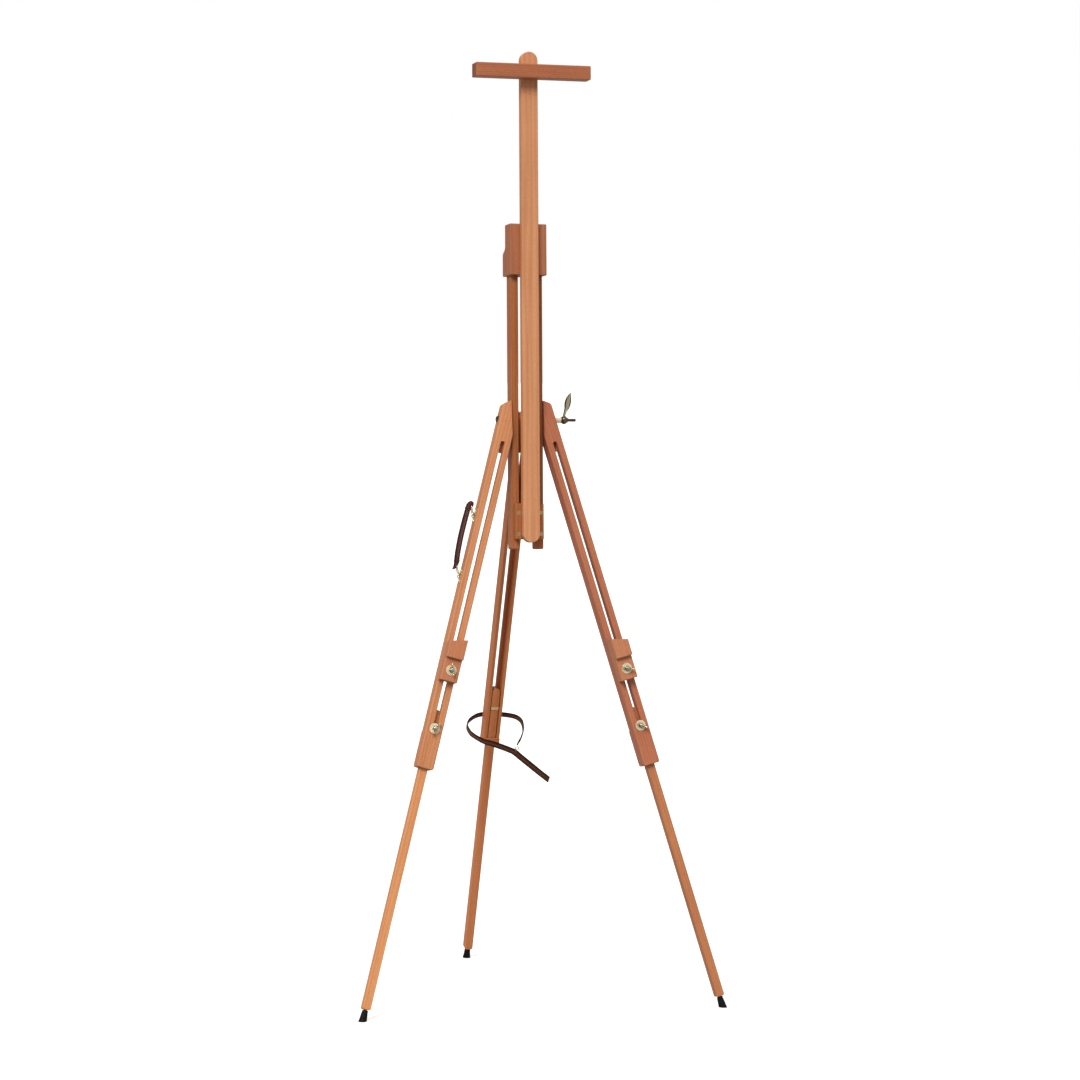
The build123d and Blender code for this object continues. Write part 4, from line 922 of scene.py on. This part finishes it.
# ---------------------------------------------------------------- carrying handle
HANDLE_Y = -7.0
HANDLE_LINE = (  # x and z in the left leg's frame, from the hooked upper end to the flared lower one
    (-28.6, -197.5), (-31.2, -190.6), (-34.8, -194.5), (-36.0, -208.0), (-36.9, -240.0), (-36.7, -270.0),
    (-35.0, -300.0), (-33.0, -316.0), (-33.6, -326.0), (-36.6, -332.5),
)
HANDLE_WIDE = ((0, 5.0), (0.06, 5.8), (0.2, 6.4), (0.85, 6.2), (0.93, 5.8), (1, 4.6))
HANDLE_DEEP = ((0, 2.4), (0.04, 4.3), (0.12, 5.6), (0.5, 5.7), (0.85, 5.4), (0.94, 4.2), (1, 2.0))
KEEPERS = ((0.125, 0.165), (0.865, 0.905))  # sewn bands over the folded ends, as shares of the length
PLATE_FACE = -19.0
EYES_Z = (-214.0, -343.0)
PLATE_SCREW = 11.0
PLATE_SCREW_DOME = (
    (0.0, 3.3), (0.35, 3.3), (0.9, 3.0), (1.35, 2.5), (1.65, 1.9), (1.8, 1.3), (1.88, 0.7), (1.9, 0.2),
)
SCREW_SLOT_HALF = 0.5
SCREW_SLOT_FLOOR = 0.7
HANDLE_STITCH = (4.4, 2.9, 0.42)  # pitch, length and half thickness of a stitch
STRAP_STITCH = (3.9, 2.6, 0.34)


def seam_profile(count, power, ridge):
    """An oval whose two narrow sides stand up as a sewn seam."""
    return [(u * (1 + ridge) if abs(u) > 0.93 else u, v) for u, v in oval(count, power)]


def make_handle():
    leg = LEGS["left"]
    sideways = (leg.to_3x3() @ Vector((0, 1, 0))).normalized()
    line = smooth_line([place(leg, x, HANDLE_Y, z) for x, z in HANDLE_LINE], 1.0 * MM)
    outward = [t.cross(sideways).normalized() for t in tangents(line)]
    across = [sideways] * len(line)

    def size(share):
        return between(HANDLE_WIDE, share) * MM, between(HANDLE_DEEP, share) * MM

    profile = seam_profile(44, 0.80, 0.05)
    body = sweep("handle_grip", line, across, outward, profile, size, FINISH["leather"])
    give(body, "handle", "leather", "handle_leather")
    last = len(line) - 1
    for name, (low, high) in zip(("upper", "lower"), KEEPERS):
        a, b = round(low * last), round(high * last)

        def keeper_size(share):
            wide, deep = size(low + (high - low) * share)
            edge = 0.55 * min(1.0, 6 * min(share, 1 - share) + 0.1) * MM
            return wide + edge, deep + edge

        run = (line[a:b], across[a:b], outward[a:b])
        piece = sweep("handle_keeper_" + name, *run, profile, keeper_size, FINISH["leather"])
        give(piece, "handle", "leather")
    for name, way in (("front", -1), ("back", 1)):
        rim = [spot + sideways * (way * size(k / last)[0] * 1.04) for k, spot in enumerate(line)]
        a, b = round(0.18 * last), round(0.85 * last)
        up = [sideways * way] * (b - a)
        sewn = stitch_row("handle_stitches_" + name, rim[a:b], up, *HANDLE_STITCH, FINISH["thread"])
        give(sewn, "handle", "leather")
    parts = []
    for eye in EYES_Z:
        for way in (-1, 1):
            at = turned_about(leg, PLATE_FACE, HANDLE_Y, eye + way * PLATE_SCREW, "left")
            parts.append(screw_dome(at, PLATE_SCREW_DOME, 25.0 + 40.0 * way))
    screws = mesh_piece("handle_plate_screws", *joined(*parts), FINISH["brass_cast"])
    crease(screws, 40)
    give(screws, "front_left_leg", "brass")


def screw_dome(at, outline, turn):
    """A domed screw head with a slot cut across it."""
    fine = []
    for (za, ra), (zb, rb) in zip(outline, outline[1:]):
        fine += [(za + (zb - za) * t / 3, ra + (rb - ra) * t / 3) for t in range(3)]
    rings = lathe(Matrix.Identity(4), fine + [outline[-1]], sides=72)
    verts, faces = skin(rings)
    spin = Matrix.Rotation(math.radians(turn), 4, "Z")
    for v in verts:
        if abs(v.y) < SCREW_SLOT_HALF * MM and v.z > SCREW_SLOT_FLOOR * MM:
            v.z = SCREW_SLOT_FLOOR * MM
    return [at @ spin @ v for v in verts], faces


# ---------------------------------------------------------------- leather strap on the rear leg
STRAP_TILT = 32.0
STRAP_DEEP = 1.15
LOOP_BACK = 49.5
STRAP_ANCHOR = (0.0, 27.4, -674.5)  # where the loop's back stands off the rear leg
STRAP_LINE = (  # in the loop's frame, from the ring round the back to the free tail
    (39.5, -49.0, -5.5), (43.5, -43.6, -2.0), (50.0, -34.3, 0.0), (60.5, -12.0, 0.0), (64.8, 8.0, 0.0),
    (64.8, 23.0, 0.0),
    (58.4, 35.1, 0.0), (45.0, 42.1, 0.0), (20.0, 47.5, 0.0), (0.0, 48.9, 0.0), (-18.5, 47.3, 0.0),
    (-34.0, 41.0, 0.0), (-50.5, 26.5, 0.0), (-59.0, 8.0, 0.5), (-58.8, -16.0, 4.0), (-55.5, -31.0, 8.0),
    (-48.0, -43.0, 9.5), (-36.0, -49.4, 6.5), (-13.6, -50.5, -0.7), (7.6, -50.5, -9.8), (22.0, -50.5, -16.4),
    (37.0, -50.5, -24.6), (54.8, -50.8, -40.1), (72.3, -51.0, -55.3), (90.1, -51.0, -71.0),
    (108.0, -51.4, -86.4),
    (127.0, -52.0, -102.0),
)
STRAP_WIDE = ((0, 2.6), (0.012, 3.4), (0.05, 6.0), (0.55, 6.0), (0.66, 6.9), (1, 6.6))
STRAP_PROFILE = (
    (1.0, 0.0), (0.985, 0.6), (0.94, 0.92), (0.84, 0.98), (0.76, 0.80), (0.70, 0.80), (0.62, 1.0),
    (0.35, 1.06),
    (0.08, 1.08), (0.03, 0.90),
)
TAIL_SLANT = 4.6  # how far the slanted cut of the tail leads on one edge
TAIL_CUT = 16.0  # length over which the slant fades out
RING = (40.5, -50.5, -13.4, 4.1, 0.95)  # place, radius and wire of the small ring
WIRE_SIDES = 16
RIVET = ((-0.4, 2.3), (0.3, 2.3), (0.7, 2.1), (1.1, 1.6), (1.35, 1.0), (1.4, 0.4))
RIVET_SIDE = 2.0  # how far left of the ring the rivet sits
RIVET_Z = -21.0


def make_strap():
    tilt = math.radians(STRAP_TILT)
    back = Vector((0, math.cos(tilt), math.sin(tilt)))
    up = Vector((0, -math.sin(tilt), math.cos(tilt)))
    origin = place(REAR, *STRAP_ANCHOR) - back * (LOOP_BACK * MM)
    turned = Matrix((Vector((1, 0, 0)), back, up)).transposed().to_4x4()
    loop = Matrix.Translation(origin) @ turned
    line = smooth_line([place(loop, *spot) for spot in STRAP_LINE], 1.3 * MM)
    ways = tangents(line)
    outward, across = [], []
    for way in ways:
        flat = Vector((way.dot(Vector((1, 0, 0))), way.dot(back), 0)).normalized()
        out = Vector((1, 0, 0)) * flat.y - back * flat.x
        outward.append(out)
        across.append(way.cross(out).normalized())
    half = list(STRAP_PROFILE) + [(-u, v) for u, v in STRAP_PROFILE[::-1]]
    profile = half + [(u, -v) for u, v in half[-2:0:-1]]

    def size(share):
        return between(STRAP_WIDE, share) * MM, STRAP_DEEP * MM

    strap = sweep("strap_band", line, across, outward, profile, size, FINISH["strap"])
    edge_marks = strap.data.attributes["across"].data
    run_marks = strap.data.attributes["along"].data
    length = max(spot.value for spot in run_marks)
    for v, u, s in zip(strap.data.vertices, edge_marks, run_marks):
        near = max(0.0, (s.value - length + TAIL_CUT) / TAIL_CUT)
        v.co += ways[-1] * (u.value * TAIL_SLANT * near * near * MM)
    give(strap, "rear_leg", "leather", "strap_loop", "strap_tail")
    last = len(line) - 1
    for name, way in (("outer", 1), ("inner", -1)):
        run = [spot + outward[k] * (way * STRAP_DEEP * MM) for k, spot in enumerate(line)]
        a, b = round(0.05 * last), round(0.975 * last)
        up = [out * way for out in outward[a:b]]
        sewn = stitch_row("strap_stitches_" + name, run[a:b], up, *STRAP_STITCH, FINISH["thread"])
        give(sewn, "rear_leg", "leather")
    x, y, z, radius, wire = RING
    to_front = Matrix.Rotation(math.pi / 2, 4, "X")
    turns = [2 * math.pi * k / WIRE_SIDES for k in range(WIRE_SIDES)]
    section = [(wire * math.sin(a), radius + wire * math.cos(a)) for a in turns]
    rings = lathe(loop @ Matrix.Translation(Vector((x, y, z)) * MM) @ to_front, section, sides=48)
    ring = mesh_piece("strap_wire_ring", *skin(rings + [rings[0]], caps=False), FINISH["brass_cast"])
    give(ring, "rear_leg", "brass", "strap_ring")
    spot = Vector((x - RIVET_SIDE, y - STRAP_DEEP * 0.8, RIVET_Z)) * MM
    at = loop @ Matrix.Translation(spot) @ to_front
    rivet = mesh_piece("strap_rivet", *skin(lathe(at, RIVET)), FINISH["bronze"])
    give(rivet, "rear_leg", "brass")


make_camera()
make_world()
make_lights()
make_floor()
make_knobs()
make_lever()
make_feet()
make_handle()
make_strap()
paint_nodes()
